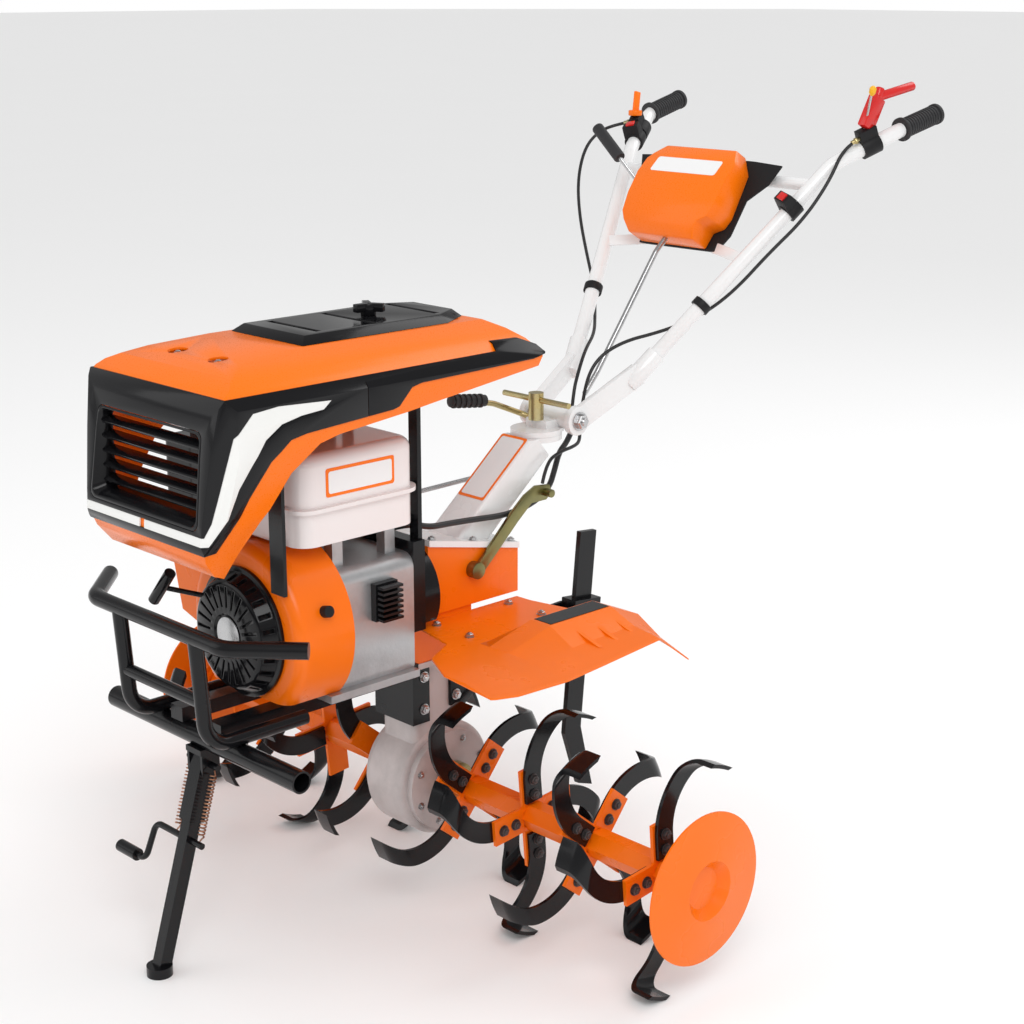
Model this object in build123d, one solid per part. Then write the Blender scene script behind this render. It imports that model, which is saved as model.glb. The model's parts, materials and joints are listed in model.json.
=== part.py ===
from build123d import *
import os
from math import atan2, cos, degrees, hypot, radians, sin

# Power tiller, in millimetres. +X is forward, +Y is the machine's left, +Z is up.
# While the pieces are drawn, x is 0 at the rotor axle. The last step moves all to the middle of the length.

# Rotor
TINE_TIP_R = 181.0
TINE_STEP = 45.0
TINE_TIP_SPAN = 14.0
TINE_TIP_LEAD = 28.0
TINE_T = 6.0
TINE_W = 34.0
TINE_ROOT_R = 27.0
TINE_STRAIGHT = 62.0
TINE_BEND_R = 26.0
TINE_SIDE = 52.0
TINES_PER_STATION = 4
STATION_Y = (112.0, 252.0, 392.0, 532.0)
FLANGE_T = 6.0
FLANGE_ARM_W = 42.0
FLANGE_ARM_R = 84.0
HUB_AF = 42.0
HUB_START_Y = 78.0
HUB_END_Y = 598.0
SHAFT_R = 17.0
SHAFT_AF = 28.0
SHAFT_END_Y = 190.0
OUT_FLANGE_R = 34.0
OUT_FLANGE_Y = (62.0, 77.0)
DISC_R = 118.0
DISC_Y = 627.0
DISC_T = 3.0
DISC_DISH_R = 46.0
DISC_DISH_DEPTH = 16.0
# The rotor stands on two rows of tips, with the lowest point midway between them.
AXLE_Z = TINE_TIP_R * cos(radians((TINE_STEP - TINE_TIP_SPAN) / 2))

# Fits
RUNNING_GAP = 0.06
SEAT_GAP = 0.3

# Gearbox
COLUMN_X = (-36.0, 64.0)
COLUMN_HALF_Y = 42.0
COLUMN_TOP = 392.0
DRUM_R = 98.0
DRUM_HALF_Y = 46.0
COVER_R = 86.0
COVER_T = 12.0
GEARBOX_FLANGE = 10.0

# Transmission box and steering column
BOX_X = (-158.0, 42.0)
BOX_HALF_Y = 55.0
NECK_HALF_Y = 50.0
BOX_SEAM_Z = 470.0
BOX_TOP_Z = (588.0, 546.0)
TOP_PLATE_T = 10.0
STEER_FOOT = (-98.0, 592.0)
STEER_ANGLE = 40.0
STEER_LENGTH = 176.0
STEER_W = 74.0
STEER_T = 58.0
SWIVEL_X = -254.0
SWIVEL_Z = 718.0
SWIVEL_R = 44.0
SWIVEL_T = 9.0

# Engine
CRANK_Z = 510.0
ENGINE_FLOOR = 400.0
ENGINE_X = (110.0, 262.0)
ENGINE_Y = (-105.0, 98.0)
ENGINE_TOP = 600.0
ENGINE_FLANGE_T = 12.0
CLUTCH_R = 84.0
CLUTCH_PLATE_T = 24.0
SHROUD_R = 138.0
SHROUD_X = (262.0, 366.0)
RECOIL_R = 94.0
RECOIL_FACE_X = 397.0
HEAD_TILT = 25.0
TANK_X = (98.0, 342.0)
TANK_HALF_Y = 115.0
TANK_SEAM_Z = 708.0
TANK_BOTTOM = 652.0
TANK_TOP = 790.0
TANK_LIP = 6.0
CAP_R = 32.0
EXHAUST_Z = 668.8

# Front frame
CROSS_X = 447.0
CROSS_Z = 360.0
CROSS_R = 17.0
CROSS_WALL = 3.0
CROSS_HALF_Y = 239.0
RAIL_Y = (35.0, 65.0)
BAR_R = 12.5
UPRIGHT_R = 11.5
BAR_TOP_Z = 560.0
BAR_FRONT_X = 521.0
BAR_CORNER_Y = 165.0
BAR_END = (438.0, 253.0)
UPRIGHT_Y = 98.0
UPRIGHT_REAR_X = 330.0
MID_RAIL_Z = 460.0
MID_RAIL_R = 10.0

# Stand
STAND_PIVOT = (450.0, 321.0)
STAND_FOOT_X = 547.0
STAND_SLEEVE_W = 28.0
STAND_SLEEVE_L = 92.0
STAND_LEG_W = 21.0
STAND_FOOT_R = 20.0
STAND_FOOT_H = 8.0
STAND_PIN_R = 5.0
STAND_EAR_T = 5.0
PEDAL_R = 5.0
PEDAL_DOWN = 122.0
SPRING_R = 6.0
SPRING_Y = 30.0

# Hitch and depth bar
DEPTH_TILT = 5.5
DEPTH_MID = (-366.0, 360.0)
DEPTH_W = 40.0
DEPTH_T = 10.0
DEPTH_UP = 160.0
DEPTH_DOWN = 215.0
DEPTH_TAIL = 118.0
DEPTH_TAIL_TURN = 22.0
HITCH_WALL = 12.0
HITCH_H = 76.0
HITCH_PIN_R = 8.0

# Mudguards
GUARD_Z = 458.0
GUARD_T = 3.0

# Hood
HOOD_WALL = 4.0
HOOD_HALF_Y = 174.0
LID_X = (-36.0, 306.0)
LID_HALF_Y = 88.0
LID_T = 10.0
LID_SEAT_Z = 955.3

# Handlebar
TILT_PIVOT = (-297.0, 741.0)
BARREL_R = 18.0
BARREL_HALF_Y = 46.0
ARM_T = 14.0
ARM_BOSS_R = 25.0
TUBE_R = 13.0
SOCKET_R = 17.0
ARM_END = (-424.0, 78.0, 808.0)
TUBE_BEND = (-738.0, 236.0, 1155.0)
GRIP_START = (-850.0, 293.5, 1210.0)
GRIP_END = (-943.0, 300.0, 1233.0)
GRIP_R = 17.0
DASH_MID = (-622.0, 1096.0)
DASH_PITCH = 60.0
DASH_W = 206.0
DASH_H = 178.0
DASH_T = 62.0

# The row's origin is under the middle of the machine's length.
FRONT_REACH = STAND_FOOT_X + STAND_FOOT_R
REAR_REACH = GRIP_END[0]
ORIGIN_X = -(FRONT_REACH + REAR_REACH) / 2


def block(x, y, z):
    """A box from three pairs of limits."""
    size = [high - low for low, high in (x, y, z)]
    middle = [(low + high) / 2 for low, high in (x, y, z)]
    return Pos(*middle) * Box(*size)


def rod(start, end, radius):
    """A round bar between two points."""
    start, end = Vector(*start), Vector(*end)
    plane = Plane(origin=start, z_dir=end - start)
    return extrude(plane * Circle(radius), (end - start).length)


def bent_rod(points, radii, radius):
    """A round bar along straight runs joined by arcs."""
    path = FilletPolyline(*points, radius=radii)
    section = Plane(origin=path @ 0, z_dir=path % 0) * Circle(radius)
    return sweep(section, path)


def side_plate(points, y):
    """A plate with its outline in the XZ plane, between two y values."""
    face = make_face(Polyline(*[(px, 0, pz) for px, pz in points], close=True))
    return Pos(0, y[0], 0) * extrude(face, amount=y[1] - y[0], dir=(0, 1, 0))


def y_cylinder(x, z, radius, y):
    """A cylinder along Y between two y values."""
    return rod((x, y[0], z), (x, y[1], z), radius)


def x_cylinder(y, z, radius, x):
    """A cylinder along X between two x values."""
    return rod((x[0], y, z), (x[1], y, z), radius)


def both_sides(shape):
    """A shape and its mirror image across the machine's middle plane."""
    return [shape, mirror(shape, about=Plane.XZ)]


def save(name, *shapes):
    """Writes one node, moved to the row's origin."""
    solids = [solid for shape in shapes for solid in shape.solids()]
    export_step(Compound(solids).moved(Location((ORIGIN_X, 0, 0))), f"parts/{name}.step")


# Rotor


def tine_outline():
    """The sickle outline in the XZ plane, with the root along +X and the tip swept to +Z."""
    half = TINE_W / 2
    lead = radians(TINE_TIP_LEAD - TINE_TIP_SPAN / 2)
    trail = radians(TINE_TIP_LEAD + TINE_TIP_SPAN / 2)
    out = TINE_TIP_R + TINE_T
    convex = (TINE_TIP_R * cos(lead), TINE_TIP_R * sin(lead))
    concave = (TINE_TIP_R * cos(trail), TINE_TIP_R * sin(trail))
    edges = [
        Line((TINE_ROOT_R, -half), (TINE_STRAIGHT, -half)),
        TangentArc((TINE_STRAIGHT, -half), convex, tangent=(1, 0)),
        Line(convex, (out * cos(lead), out * sin(lead))),
        Line((out * cos(lead), out * sin(lead)), (out * cos(trail), out * sin(trail))),
        Line((out * cos(trail), out * sin(trail)), concave),
        TangentArc((TINE_STRAIGHT, half), concave, tangent=(1, 0)),
        Line((TINE_STRAIGHT, half), (TINE_ROOT_R, half)),
        Line((TINE_ROOT_R, half), (TINE_ROOT_R, -half)),
    ]
    return Rot(90, 0, 0) * make_face(Curve() + edges)


def tine():
    """A flat root that turns sideways onto the tips' cylinder: a revolved cup cut by the sickle outline."""
    inner = TINE_TIP_R - TINE_T
    profile = Polyline(
        (TINE_ROOT_R - 2, 0), (TINE_TIP_R, 0), (TINE_TIP_R, TINE_SIDE), (inner, TINE_SIDE),
        (inner, TINE_T), (TINE_ROOT_R - 2, TINE_T), close=True,
    )
    face = make_face(profile)
    corner = face.vertices().sort_by_distance((TINE_TIP_R, 0, 0))[0]
    face = fillet(corner, TINE_BEND_R)
    corner = face.vertices().sort_by_distance((inner, TINE_T, 0))[0]
    face = fillet(corner, TINE_BEND_R - TINE_T)
    cup = revolve(face, Axis.Y)
    slab = extrude(tine_outline(), amount=TINE_SIDE + 2, dir=(0, 1, 0))
    return cup & slab


def station_phase(index):
    """The direction of a station's first tine, turned so that tips stand either side of the lowest point."""
    first = 270 - TINE_STEP / 2 - TINE_TIP_LEAD
    return first + (index % 2) * TINE_STEP


def flange_plate(index):
    """The cross-shaped plate that carries four tines, with the hub tube through it."""
    arm = Rot(90, 0, 0) * (Rectangle(2 * FLANGE_ARM_R, FLANGE_ARM_W) + Rectangle(FLANGE_ARM_W, 2 * FLANGE_ARM_R))
    plate = extrude(arm, amount=FLANGE_T / 2, dir=(0, 1, 0), both=True)
    hub = extrude(Rot(90, 0, 0) * RegularPolygon(HUB_AF / 2, 6, major_radius=False), amount=FLANGE_T, both=True)
    return Pos(0, STATION_Y[index], AXLE_Z) * (Rot(0, -station_phase(index), 0) * (plate - hub))


def left_tines():
    """All tines of the left half, in pairs on the two faces of each flange plate."""
    outward = tine()
    inward = mirror(outward, about=Plane.XZ)
    tines = []
    for index, y in enumerate(STATION_Y):
        for number in range(TINES_PER_STATION):
            angle = station_phase(index) + 90 * number
            blade = outward if number % 2 == 0 else inward
            side = FLANGE_T / 2 if number % 2 == 0 else -FLANGE_T / 2
            tines.append(Pos(0, y + side, AXLE_Z) * (Rot(0, -angle, 0) * blade))
    return tines


def left_hub():
    """The hexagonal hub tube, with its flange plates welded on."""
    outer = RegularPolygon(HUB_AF / 2, 6, major_radius=False)
    inner = RegularPolygon(SHAFT_AF / 2 + SEAT_GAP, 6, major_radius=False)
    length = HUB_END_Y - HUB_START_Y
    tube = extrude(Rot(90, 0, 0) * (outer - inner), amount=length, dir=(0, 1, 0))
    hub = Pos(0, HUB_START_Y, AXLE_Z) * tube
    for index in range(len(STATION_Y)):
        hub += flange_plate(index)
    return hub


def output_shaft():
    """Round in the gearbox and hexagonal in the hub tubes."""
    shaft = y_cylinder(0, AXLE_Z, SHAFT_R, (-OUT_FLANGE_Y[1], OUT_FLANGE_Y[1]))
    end = RegularPolygon(SHAFT_AF / 2, 6, major_radius=False)
    stub = extrude(Rot(90, 0, 0) * end, amount=SHAFT_END_Y - OUT_FLANGE_Y[1], dir=(0, 1, 0))
    for side in both_sides(Pos(0, OUT_FLANGE_Y[1], AXLE_Z) * stub):
        shaft += side
    return shaft


def output_flange():
    """The turned flange between the gearbox and the left hub."""
    ring = y_cylinder(0, AXLE_Z, OUT_FLANGE_R, OUT_FLANGE_Y)
    return ring - y_cylinder(0, AXLE_Z, SHAFT_R, (OUT_FLANGE_Y[0] - 1, OUT_FLANGE_Y[1] + 1))


def end_disc():
    """The left dished disc, on a short spigot that enters the hub tube."""
    rim = DISC_R
    flat = DISC_DISH_R
    deep = DISC_Y - DISC_DISH_DEPTH
    profile = Polyline(
        (0, deep), (flat - 14, deep), (flat, DISC_Y - 2), (rim, DISC_Y - 12), (rim, DISC_Y - 12 - DISC_T),
        (flat + 1, DISC_Y - 2 - DISC_T), (flat - 11, deep - DISC_T), (14, deep - DISC_T), (14, HUB_END_Y - 30),
        (0, HUB_END_Y - 30), close=True,
    )
    disc = revolve(make_face(profile), Axis.Y)
    collar = y_cylinder(0, 0, HUB_AF / 2 + 6, (HUB_END_Y + SEAT_GAP, deep - DISC_T))
    return Pos(0, 0, AXLE_Z) * (disc + collar)


# Gearbox and transmission


def gearbox_housing():
    """The cast column over the round lower housing, bored for the output shaft."""
    column = block(COLUMN_X, (-COLUMN_HALF_Y, COLUMN_HALF_Y), (AXLE_Z, COLUMN_TOP))
    column = fillet(column.edges().filter_by(Axis.Z), 12)
    drum = y_cylinder(0, AXLE_Z, DRUM_R, (-DRUM_HALF_Y, DRUM_HALF_Y))
    drum = fillet(drum.edges().filter_by(GeomType.CIRCLE), 8)
    top = block(
        (COLUMN_X[0] - GEARBOX_FLANGE, COLUMN_X[1] + GEARBOX_FLANGE),
        (-COLUMN_HALF_Y - GEARBOX_FLANGE, COLUMN_HALF_Y + GEARBOX_FLANGE),
        (COLUMN_TOP - GEARBOX_FLANGE, COLUMN_TOP),
    )
    bore = y_cylinder(0, AXLE_Z, SHAFT_R + RUNNING_GAP, (-100, 100))
    return column + drum + top - bore


def gearbox_cover():
    """The left bearing cover on the lower housing."""
    outer = DRUM_HALF_Y + COVER_T
    cover = y_cylinder(0, AXLE_Z, COVER_R, (DRUM_HALF_Y, outer))
    return cover - y_cylinder(0, AXLE_Z, SHAFT_R + RUNNING_GAP, (DRUM_HALF_Y - 1, outer + 1))


def transmission_box():
    """The neck on the gearbox and the sloping box that carries the steering column."""
    neck = block((COLUMN_X[0] - 20, COLUMN_X[1] + 8), (-NECK_HALF_Y, NECK_HALF_Y), (COLUMN_TOP, BOX_SEAM_Z))
    box = side_plate(
        [(BOX_X[0], BOX_SEAM_Z), (BOX_X[1], BOX_SEAM_Z), (BOX_X[1], BOX_TOP_Z[0]), (BOX_X[0], BOX_TOP_Z[1])],
        (-BOX_HALF_Y, BOX_HALF_Y),
    )
    return neck + box


def box_slope():
    """The fall of the transmission box's top, in degrees."""
    return degrees(atan2(BOX_TOP_Z[0] - BOX_TOP_Z[1], BOX_X[1] - BOX_X[0]))


def top_plate():
    """The white plate on the transmission box."""
    lift = TOP_PLATE_T / cos(radians(box_slope()))
    low, high = BOX_TOP_Z[1], BOX_TOP_Z[0]
    points = [(BOX_X[0], low), (BOX_X[1], high), (BOX_X[1], high + lift), (BOX_X[0], low + lift)]
    return side_plate(points, (-BOX_HALF_Y - 4, BOX_HALF_Y + 4))


def steering_column():
    """The white box section that leans back, with the fixed swivel plate on its top."""
    along = (-cos(radians(STEER_ANGLE)), sin(radians(STEER_ANGLE)))
    plane = Plane(origin=(STEER_FOOT[0], 0, STEER_FOOT[1]), x_dir=(0, 1, 0), z_dir=(along[0], 0, along[1]))
    section = RectangleRounded(STEER_W, STEER_T, 8)
    post = extrude(plane * section, STEER_LENGTH)
    post += extrude(plane * section, -60)
    slope = box_slope()
    level = BOX_TOP_Z[0] + TOP_PLATE_T / cos(radians(slope))
    drop = (BOX_X[1] + 400) * (BOX_TOP_Z[0] - BOX_TOP_Z[1]) / (BOX_X[1] - BOX_X[0])
    floor = side_plate([(BOX_X[1], level), (-400, level - drop), (-400, 200), (BOX_X[1], 200)], (-200, 200))
    ceiling = block((-500, 0), (-200, 200), (SWIVEL_Z - 1, 1000))
    post = post - floor - ceiling
    plate = rod((SWIVEL_X, 0, SWIVEL_Z - SWIVEL_T), (SWIVEL_X, 0, SWIVEL_Z), SWIVEL_R)
    return post + plate


def shift_arm():
    """The flat selector arm on the left of the column."""
    face_y = BOX_HALF_Y + 5
    arm = side_plate([(-46, 524), (-60, 520), (-222, 628), (-216, 644), (-206, 642)], (face_y, face_y + 6))
    boss = y_cylinder(-54, 530, 14, (BOX_HALF_Y, face_y + 12))
    return arm + boss


# Engine


def crankcase():
    """The engine block at its real place, with its base flange and the tank's feet."""
    body = block(ENGINE_X, ENGINE_Y, (ENGINE_FLOOR, ENGINE_TOP))
    body = fillet(body.edges().filter_by(Axis.X), 22)
    flange = block((ENGINE_X[0], ENGINE_X[1] + 26), (-110, 110), (ENGINE_FLOOR, ENGINE_FLOOR + ENGINE_FLANGE_T))
    body += flange
    for x in (ENGINE_X[0] + 14, ENGINE_X[1] - 34):
        for y in (-70, 50):
            body += block((x, x + 20), (y, y + 20), (ENGINE_TOP - 30, TANK_BOTTOM))
    return body


def clutch_housing():
    """The black housing between the engine and the transmission box."""
    drum = x_cylinder(0, CRANK_Z, CLUTCH_R, (BOX_X[1], ENGINE_X[0]))
    plate = block((ENGINE_X[0] - CLUTCH_PLATE_T, ENGINE_X[0]), (-98, 98), (470, 618))
    drum -= block((0, 200), (-200, 200), (300, BOX_SEAM_Z))
    return drum + plate


def shroud():
    """The fan housing, round the crank axis and drawn out towards the cylinder."""
    duct = make_face(Polyline((0, CRANK_Z - 60), (0, CRANK_Z + 128), (-120, 650), (-205, 610), (-178, 500), close=True))
    plane = Plane(origin=(SHROUD_X[0], 0, 0), x_dir=(0, 1, 0), z_dir=(1, 0, 0))
    drum = x_cylinder(0, CRANK_Z, SHROUD_R, SHROUD_X)
    drum = fillet(drum.edges().filter_by(GeomType.CIRCLE).sort_by(Axis.X)[-1], 18)
    body = drum + extrude(plane * duct, SHROUD_X[1] - SHROUD_X[0] - 10)
    return body - block((0, 500), (-300, 300), (200, ENGINE_FLOOR + ENGINE_FLANGE_T))


def recoil_cover():
    """The domed black starter cover."""
    depth = RECOIL_FACE_X - SHROUD_X[1]
    profile = Polyline(
        (0, 0), (RECOIL_R + 8, 0), (RECOIL_R + 8, 6), (RECOIL_R, 6), (RECOIL_R - 10, depth - 3), (RECOIL_R - 16, depth),
        (34, depth), (30, depth - 3), (0, depth - 3), close=True,
    )
    return Pos(SHROUD_X[1], 0, CRANK_Z) * (Rot(0, 90, 0) * revolve(Rot(90, 0, 0) * make_face(profile), Axis.Z))


def starter_grip():
    """The T grip at the top of the starter cover."""
    stem = rod((RECOIL_FACE_X - 12, -62, CRANK_Z + 44), (432, -106, CRANK_Z + 58), 4)
    cross = rod((438, -132, CRANK_Z + 34), (438, -84, CRANK_Z + 88), 9)
    return stem + cross - recoil_cover()


def cylinder_head():
    """The finned cylinder and head, leaning up to the right."""
    parts = block((ENGINE_X[0] + 16, ENGINE_X[1] - 8), (-118, -84), (-58, 58))
    for number in range(7):
        y = -118 - 13 * number
        parts += block((ENGINE_X[0] + 8, ENGINE_X[1] - 1), (y - 5, y), (-66, 66))
        parts += block((ENGINE_X[0] + 22, ENGINE_X[1] - 14), (y - 13, y - 5), (-52, 52))
    parts += block((ENGINE_X[0] + 14, ENGINE_X[1] - 6), (-236, -209), (-56, 56))
    placed = Pos(0, 0, CRANK_Z + 8) * (Rot(-HEAD_TILT, 0, 0) * parts)
    case = block((0, 300), (ENGINE_Y[0], 300), (300, 800))
    return placed - case


def muffler():
    """The silencer on the right, above the head."""
    body = block((84, 232), (-214, -122), (EXHAUST_Z, EXHAUST_Z + 88))
    return fillet(body.edges().filter_by(Axis.X), 24)


def air_cleaner():
    """The air filter box on the right, in front of the silencer."""
    body = block((246, 356), (-216, -124), (EXHAUST_Z, EXHAUST_Z + 108))
    return fillet(body.edges().filter_by(Axis.Z), 18)


def fuel_tank():
    """Two pressed halves joined at a lip."""
    low = block((TANK_X[0] + 8, TANK_X[1] - 8), (-TANK_HALF_Y + 8, TANK_HALF_Y - 8), (TANK_BOTTOM, TANK_SEAM_Z))
    low = fillet(low.edges().filter_by(Axis.Z), 30)
    high = block((TANK_X[0] + 8, TANK_X[1] - 8), (-TANK_HALF_Y + 8, TANK_HALF_Y - 8), (TANK_SEAM_Z, TANK_TOP))
    high = fillet(high.edges().filter_by(Axis.Z), 30)
    high = fillet(high.faces().sort_by(Axis.Z)[-1].edges(), 18)
    lip = block(TANK_X, (-TANK_HALF_Y, TANK_HALF_Y), (TANK_SEAM_Z - TANK_LIP / 2, TANK_SEAM_Z + TANK_LIP / 2))
    lip = fillet(lip.edges().filter_by(Axis.Z), 36)
    return low + high + lip


def fuel_cap():
    """The round filler cap."""
    cap = rod((220, 0, TANK_TOP), (220, 0, TANK_TOP + 26), CAP_R)
    return fillet(cap.faces().sort_by(Axis.Z)[-1].edges(), 5)


def regulator():
    """The finned rectifier on the left of the crankcase."""
    x, z = 175, 540
    body = block((x - 22, x + 22), (ENGINE_Y[1], ENGINE_Y[1] + 12), (z - 30, z + 30))
    for number in range(7):
        low = z - 28 + 8.6 * number
        body += block((x - 20, x + 20), (ENGINE_Y[1] + 12, ENGINE_Y[1] + 28), (low, low + 4))
    return body


# Front frame


def frame_rails():
    """The two rails under the engine and the brackets that grip the gearbox column."""
    floor = CROSS_Z + CROSS_R
    rails = []
    for side in (-1, 1):
        low, high = sorted((side * RAIL_Y[0], side * RAIL_Y[1]))
        rail = block((COLUMN_X[1] + GEARBOX_FLANGE, CROSS_X + 14), (low, high), (floor, ENGINE_FLOOR))
        low, high = sorted((side * COLUMN_HALF_Y, side * (COLUMN_HALF_Y + 6)))
        cheek = block((COLUMN_X[1] - 28, COLUMN_X[1] + 8), (low, high), (286, COLUMN_TOP - GEARBOX_FLANGE))
        low, high = sorted((0, side * (COLUMN_HALF_Y + 6)))
        front = block((COLUMN_X[1], COLUMN_X[1] + 8), (low, high), (286, COLUMN_TOP - GEARBOX_FLANGE))
        rails.append(rail + cheek + front)
    return rails[0] + rails[1]


def cross_tube():
    """The open front tube."""
    ends = (-CROSS_HALF_Y, CROSS_HALF_Y)
    tube = y_cylinder(CROSS_X, CROSS_Z, CROSS_R, ends)
    return tube - y_cylinder(CROSS_X, CROSS_Z, CROSS_R - CROSS_WALL, (ends[0] - 1, ends[1] + 1))


def bull_bar():
    """The bent top bar, two uprights that turn back along the frame, and the middle rail."""
    low_z = CROSS_Z + CROSS_R + UPRIGHT_R
    corners = [
        (BAR_END[0], -BAR_END[1], BAR_TOP_Z),
        (BAR_FRONT_X, -BAR_CORNER_Y, BAR_TOP_Z),
        (BAR_FRONT_X, BAR_CORNER_Y, BAR_TOP_Z),
        (BAR_END[0], BAR_END[1], BAR_TOP_Z),
    ]
    bar = bent_rod(corners, [38, 38], BAR_R)
    foot_x = BAR_FRONT_X - 12
    for y in (-UPRIGHT_Y, UPRIGHT_Y):
        route = [(BAR_FRONT_X, y, BAR_TOP_Z - 4), (foot_x, y, low_z), (UPRIGHT_REAR_X, y, low_z)]
        bar += bent_rod(route, [42], UPRIGHT_R)
    x = BAR_FRONT_X - 12 * (BAR_TOP_Z - MID_RAIL_Z) / (BAR_TOP_Z - low_z)
    bar += y_cylinder(x, MID_RAIL_Z, MID_RAIL_R, (-UPRIGHT_Y, UPRIGHT_Y))
    return bar


# Stand


def leg_angle():
    """The leg's forward lean, in degrees."""
    return degrees(atan2(STAND_FOOT_X - STAND_PIVOT[0], STAND_PIVOT[1]))


def along_leg(shape):
    """Places a shape drawn with the leg along -Z from the pivot."""
    return Pos(STAND_PIVOT[0], 0, STAND_PIVOT[1]) * (Rot(0, -leg_angle(), 0) * shape)


def stand_bracket():
    """The pad under the cross tube and the two ears that hold the stand's pin."""
    x, z = STAND_PIVOT
    inner = STAND_SLEEVE_W / 2 + 0.4
    outer = inner + STAND_EAR_T
    pad = block((x - 24, x + 18), (-outer, outer), (z + 18, CROSS_Z - CROSS_R + 5))
    pad -= y_cylinder(CROSS_X, CROSS_Z, CROSS_R, (-60, 60))
    for low in (-outer, inner):
        ear = block((x - 16, x + 16), (low, low + STAND_EAR_T), (z - 14, z + 18))
        pad += ear
    return pad - y_cylinder(x, z, STAND_PIN_R + RUNNING_GAP, (-60, 60))


def stand_leg():
    """The sleeve, the square leg, the round foot and the pivot pin."""
    length = hypot(STAND_FOOT_X - STAND_PIVOT[0], STAND_PIVOT[1])
    half = STAND_SLEEVE_W / 2
    thin = STAND_LEG_W / 2
    sleeve = block((-half, half), (-half, half), (-STAND_SLEEVE_L, 10))
    leg = block((-thin, thin), (-thin, thin), (-length + STAND_FOOT_H, -STAND_SLEEVE_L))
    rod_hole = y_cylinder(0, -PEDAL_DOWN, PEDAL_R, (-60, 60))
    leg = along_leg(sleeve + leg - rod_hole)
    leg += rod((STAND_FOOT_X, 0, 0), (STAND_FOOT_X, 0, STAND_FOOT_H + 8), STAND_FOOT_R)
    pin_end = SPRING_Y + SPRING_R + 2
    leg += y_cylinder(*STAND_PIVOT, STAND_PIN_R, (-pin_end, pin_end))
    return leg


def stand_pedal():
    """The cranked pedal rod through the leg, with its grip."""
    down = PEDAL_DOWN
    route = [(0, 38, -down), (0, -84, -down), (0, -92, -down - 62), (0, -160, -down - 62)]
    pedal = bent_rod(route, [16, 16], PEDAL_R)
    grip = y_cylinder(0, -down - 62, 10, (-162, -114))
    return along_leg(pedal + grip)


def stand_springs():
    """The two tension springs from the pin's ends to the pedal rod."""
    top = -STAND_PIN_R - SEAT_GAP
    return [
        along_leg(rod((0, y, -PEDAL_DOWN + PEDAL_R + SEAT_GAP), (0, y, top), SPRING_R)) for y in (-SPRING_Y, SPRING_Y)
    ]


# Hitch and depth bar


def along_bar(shape):
    """Places a shape drawn with the depth bar upright at the socket's middle."""
    return Pos(DEPTH_MID[0], 0, DEPTH_MID[1]) * (Rot(0, -DEPTH_TILT, 0) * shape)


def hitch_frame():
    """The two side plates behind the gearbox, the bar's socket and its pin bore."""
    half_w = DEPTH_W / 2 + SEAT_GAP
    half_t = DEPTH_T / 2 + SEAT_GAP
    outer_w = half_w + HITCH_WALL
    outer_t = half_t + HITCH_WALL
    socket = block((-outer_w, outer_w), (-outer_t, outer_t), (-HITCH_H / 2, HITCH_H / 2))
    socket -= block((-half_w, half_w), (-half_t, half_t), (-HITCH_H, HITCH_H))
    ear = block((-outer_w - 30, -outer_w), (-outer_t, outer_t), (-HITCH_H / 2, -HITCH_H / 2 + 32))
    frame = along_bar(socket + ear)
    frame -= along_bar(y_cylinder(-outer_w - 15, -HITCH_H / 2 + 16, HITCH_PIN_R, (-60, 60)))
    for side in (-1, 1):
        low, high = sorted((side * outer_t, side * (outer_t + 6)))
        frame += side_plate(
            [(COLUMN_X[0], 300), (COLUMN_X[0], 380), (-340, 392), (-340, 334), (-180, 330)], (low, high)
        )
    frame += block((COLUMN_X[0] - 8, COLUMN_X[0]), (-COLUMN_HALF_Y, COLUMN_HALF_Y), (296, 381))
    return frame


def depth_bar():
    """The drilled flat bar with its tail swept back."""
    half = DEPTH_W / 2
    turn = radians(DEPTH_TAIL_TURN)
    tail = (-DEPTH_TAIL * sin(turn), -DEPTH_DOWN - DEPTH_TAIL * cos(turn))
    outline = [
        (-half, DEPTH_UP), (half, DEPTH_UP), (half, -DEPTH_DOWN), (tail[0] + half * cos(turn), tail[1] + half * sin(turn)),
        (tail[0] - half * cos(turn), tail[1] - half * sin(turn) * 0.2), (-half, -DEPTH_DOWN + 8),
    ]
    bar = side_plate(outline, (-DEPTH_T / 2, DEPTH_T / 2))
    return along_bar(bar)


# Mudguards


def mudguard():
    """The left pressed guard with its bent-down tail."""
    z = GUARD_Z
    outline = [
        (66, NECK_HALF_Y + SEAT_GAP), (88, 150), (150, 183), (186, 252), (194, 362), (172, 376), (67, 382), (-150, 370),
        (-150, NECK_HALF_Y + SEAT_GAP),
    ]
    flat = extrude(Pos(0, 0, z) * make_face(Polyline(*outline, close=True)), GUARD_T)
    tail = side_plate([(-150, z), (-150, z + GUARD_T), (-246, z - 42 + GUARD_T), (-246, z - 42)], (150, 370))
    return flat + tail


# Hood


def hood_side_points():
    """The hood's outer side view above its skirt, front bottom first."""
    return [
        (522, 662), (532, 700), (534, 740), (526, 880), (515, 902), (490, 924), (437, 942), (300, 951), (-30, 955),
        (-64, 938), (-99, 902),
    ]


def hood_skirt_points():
    """The hood's lower edge, rear first."""
    return [(-86, 882), (99, 860), (188, 849), (311, 837), (347, 829), (396, 793), (443, 728), (474, 676), (488, 648)]


def hood_front_face():
    """The hood's outline seen from the front."""
    half = HOOD_HALF_Y
    right = [(-half + 16, 560), (-half, 800), (-half, 894), (-half + 22, 926), (-LID_HALF_Y, 950), (0, 956)]
    left = [(-y, z) for y, z in reversed(right[:-1])]
    return make_face(Polyline(*right, *left, close=True))


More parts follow.
